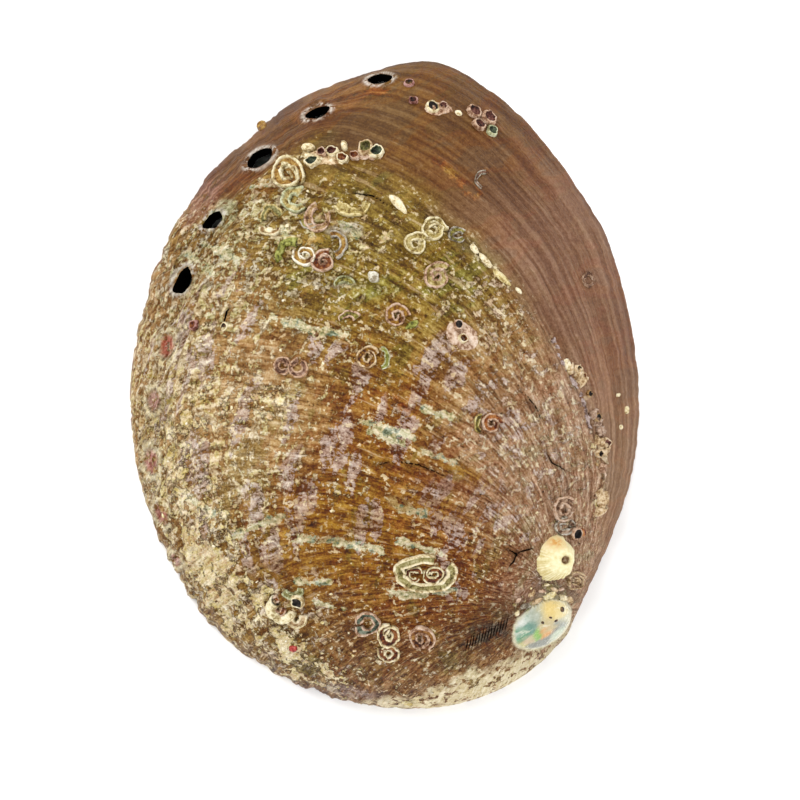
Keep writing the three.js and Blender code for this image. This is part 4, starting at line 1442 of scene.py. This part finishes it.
def add_flake(heap, at, size, turn, height, tint, seed, sides=14):
    t = full_turn(sides)
    ring = oval_ring(size, turn, t, 1 + 0.25 * round_noise(t, 1.3, 81, seed * 5.3))
    points, normals = on_shell(np.concatenate([at + ring * out for out, _ in FLAKE_SECTION]))
    lift = np.repeat([level for _, level in FLAKE_SECTION], sides) * height
    heap.add((points + normals * lift[:, None]).reshape(-1, sides, 3), tint=tint, along=seed)


def pleat_lines(first, last, count):
    """Short upright lines side by side, uneven in length."""
    middles = np.linspace(first, last, count)
    return [
        [(x - 1.5, y + 8 + n % 3), (x + 0.5, y), (x + 1.5 + n % 2, y - 7 - 2 * (n % 3))]
        for n, (x, y) in enumerate(middles)
    ]


def build_growths(material):
    heap = Heap()
    for add, forms in ((add_coil, COILS), (add_tube, TUBES), (add_rope, ROPES)):
        for form in forms:
            add(heap, *form)
    for add, forms in ((add_cup, CUPS), (add_flake, FLAKES)):
        for seed, form in enumerate(forms):
            add(heap, *form, seed)
    return heap.piece("worm_tubes", material)


def build_cracks(material):
    """Dark lines in the cracks and between the pleats: painted shade in the gaps."""
    heap = Heap()
    for stops in CRACKS:
        places = resampled(stops, 1.5)
        for axis in (0, 1):
            places[:, axis] += 10 * (uneven(len(places), stops[0][axis], 4, 0.1) - 1)
        add_dark_line(heap, places, 1.2)
    for stops in pleat_lines(*PLEATS):
        add_dark_line(heap, resampled(stops, 1.5), 0.65)
    return heap.piece("crack_and_pleat_shade", material)


def add_dark_line(heap, places, wide):
    points, normals = on_shell(places)
    tapering = np.sin(np.linspace(0.15, np.pi - 0.15, len(places)))
    radii = wide * SCALE * tapering * uneven(len(places), 3, 2, 0.2)
    heap.add(swept(points, normals, radii, ring_section(0.6))[0])


# Bits of crust: the part of the picture they lie in, how many places are tried, the sides of each bit, and
# its rings as shares of its radius and height
BIT_FIELD = ((130, 60), (640, 710))
BIT_TRIES, BIT_SIDES, BIT_SEED = 16000, 6, 3
BIT_RINGS = ((1.1, -0.8), (0.95, 0.6), (0.6, 1.0))
BIT_TINTS = np.array([CREAM, PALE_CREAM, YELLOW_CREAM, BUFF, PINK_TAN, SAND])
BIT_SHARES = [0.3, 0.05, 0.2, 0.25, 0.05, 0.15]


def build_bits(material):
    """Small bits of crust strewn over the older shell, thickest where the crust is."""
    chance = np.random.default_rng(BIT_SEED)
    places = chance.uniform(*BIT_FIELD, (BIT_TRIES, 2))
    points, normals, p = surface(*to_mm(places).T)
    wanted = p.old * (0.001 + 0.35 * Cover(p).crust ** 2)
    keep = chance.random(BIT_TRIES) < wanted
    keep &= (p.reach < 0.97) & (spire_edge(p) > 1.05) & (p.from_holes() > 1.4)
    heap = Heap()
    for point, normal in zip(points[keep], normals[keep]):
        add_bit(heap, point, normal, chance)
    return heap.piece("crust_bits", material)


def add_bit(heap, point, normal, chance):
    t = full_turn(BIT_SIDES)
    radius = min(0.5, 0.26 * chance.lognormal(0, 0.35)) * chance.uniform(0.5, 1.5, BIT_SIDES)
    height = chance.uniform(0.08, 0.2) * chance.uniform(0.7, 1.3, BIT_SIDES)
    stretch = chance.uniform(0.6, 1.0)
    rings = [point + ring_about(normal, t, radius * out, height * level, stretch) for out, level in BIT_RINGS]
    tint = BIT_TINTS[chance.choice(len(BIT_TINTS), p=BIT_SHARES)]
    heap.add(rings, tint=tint, along=chance.random())


BARNACLE_AT = (551, 557)
BARNACLE_SIDES = 120
BARNACLE_LEAN = (0.12, -0.02, 1.2)
BARNACLE_RIBS, RIB_DEPTH = 34, 0.2
PIT_SHIFT = 1.9
# The barnacle's half section: share of its radius, share of its height, and how strongly it is ribbed
BARNACLE_SECTION = [
    (1.02, -0.2, 1), (1.0, 0.04, 1), (0.95, 0.16, 1), (0.87, 0.3, 1), (0.78, 0.46, 0.9), (0.68, 0.62, 0.7),
    (0.58, 0.77, 0.5), (0.48, 0.89, 0.3), (0.4, 0.96, 0.15), (0.32, 1.0, 0), (0.25, 0.98, 0), (0.2, 0.88, 0),
    (0.16, 0.7, 0), (0.1, 0.6, 0),
]


def barnacle_material():
    g = new_material("barnacle_plates")
    speckle = g.noise(g.place(), 1400, 4, 0.6)
    # Painted shade: the furrows between the ribs are darker.
    colour = g.mix(g.ramp(g.field("rib"), 0.2, 0.75), BARNACLE_FURROW_SHADE, BARNACLE_CREAM)
    colour = g.toned(colour, speckle, 1.6)
    colour = g.mix(g.both(g.field("stain"), g.ramp(speckle, 0.25, 0.55)), colour, BARNACLE_STAIN)
    colour = g.mix(g.field("pit"), colour, g.toned(BARNACLE_PIT, speckle, 5.0))
    return g.shade({"Base Color": colour, "Roughness": 0.55, "Normal": g.bump(speckle, 0.00012, 0.7)})


def build_barnacle():
    """A leaning cone, ribbed on its left, with its pit off the middle."""
    points, normals = on_shell([BARNACLE_AT])
    axis = unit(normals[0] + BARNACLE_LEAN)
    pit_towards = local_axes(axis)[0]
    t = full_turn(BARNACLE_SIDES)
    left = smoothstep(-np.cos(t - 0.9), -0.5, 0.4)
    wander = t + 0.1 * round_noise(t, 2, 91)
    ribs = (0.5 + 0.5 * np.cos(BARNACLE_RIBS * wander)) * (0.7 + 0.3 * round_noise(t, 6, 92))
    skirt = 0.08 * round_noise(t, 1.5, 93, octaves=3) + 0.16 * np.maximum(0, np.cos(t - 2.8))
    top = bell(np.mod(t - 1.7 + np.pi, 2 * np.pi) - np.pi, 0, 0.6)
    rings, fields = [], []
    for out, level, ribbed in BARNACLE_SECTION:
        ribbed = ribbed * left
        wider = BARNACLE_RADIUS * (1 + skirt * smoothstep(out, 0.3, 0.9))
        r = out * wider + RIB_DEPTH * ribbed * (ribs - 0.5)
        h = BARNACLE_HEIGHT * (level + 0.025 * ribbed * (ribs - 0.5))
        rings.append(points[0] + PIT_SHIFT * (1 - out) * pit_towards + ring_about(axis, t, r, h))
        rib = 1 - ribbed * (1 - np.clip(ribs, 0, 1))
        fields.append((rib, top * bell(out, 0.72, 0.2), np.full(BARNACLE_SIDES, out < 0.2)))
    rib, stain, pit = (np.concatenate(values) for values in zip(*fields))
    heap = Heap()
    heap.add(rings, rib=rib, stain=stain, pit=pit)
    return heap.piece("barnacle_cone", barnacle_material())

CAMERA_DISTANCE = 1500.0
TABLE_REACH = 6000.0
TABLE_WHITE = (0.95, 0.95, 0.95, 1)


def build_stage():
    """A plain white table, soft light and a camera that looks straight down."""
    corners = [(x * TABLE_REACH, y * TABLE_REACH, 0) for x, y in ((-1, -1), (1, -1), (1, 1), (-1, 1))]
    mesh = new_mesh("table", corners, [(0, 1, 2, 3)])
    mesh.materials.append(new_material("white_table").shade({"Base Color": TABLE_WHITE, "Roughness": 0.9}))
    new_object("table", mesh)
    scene = bpy.context.scene
    scene.world = light_from_the_sides()
    add_light("key", (-0.55, 0.6, 1.0), 0.6, 8 * LIGHT)
    add_light("fill", (0.5, -0.6, 1.0), 0.9, 4 * LIGHT)
    scene.view_settings.view_transform = "Standard"
    add_camera()


def light_from_the_sides():
    """A white tent, bright all round and dim overhead."""
    g = Graph(bpy.data.worlds.new("studio"), "Background")
    up = g.node("SeparateXYZ", {0: g.node("TexCoord", {}, "Generated")}, "Z")
    fade = {"Value": up, "From Min": 0.55, "From Max": 0.95, "To Min": 1.25 * LIGHT, "To Max": 0.12 * LIGHT}
    strength = g.node("MapRange", fade, interpolation_type="SMOOTHSTEP")
    return g.shade({"Color": (1, 1, 1, 1), "Strength": strength})


def add_light(name, place, size, watts):
    data = bpy.data.lights.new(name, "AREA")
    data.size, data.energy = size, watts
    light = bpy.data.objects.new(name, data)
    light.location = place
    light.rotation_euler = (-light.location).to_track_quat("-Z", "Y").to_euler()
    bpy.context.scene.collection.objects.link(light)


def add_camera():
    data = bpy.data.cameras.new("camera")
    data.lens = data.sensor_width * CAMERA_DISTANCE / (PICTURE * SCALE)
    data.clip_end = 10
    camera = bpy.data.objects.new("camera", data)
    middle = to_mm((PICTURE / 2, PICTURE / 2))
    camera.location = (*(middle * MM), CAMERA_DISTANCE * MM)
    bpy.context.scene.collection.objects.link(camera)
    bpy.context.scene.camera = camera


def attach(piece, slot, *nodes):
    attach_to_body(piece, "root")
    if nodes:
        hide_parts(*nodes)


build_stage()
attach(build_shell(), "shell", "shell")
limy = growths_material()
attach(build_growths(limy), "shell")
attach(build_bits(limy), "shell")
attach(build_cracks(painted_shade_material()), "shell")
attach(build_barnacle(), "barnacle", "barnacle")
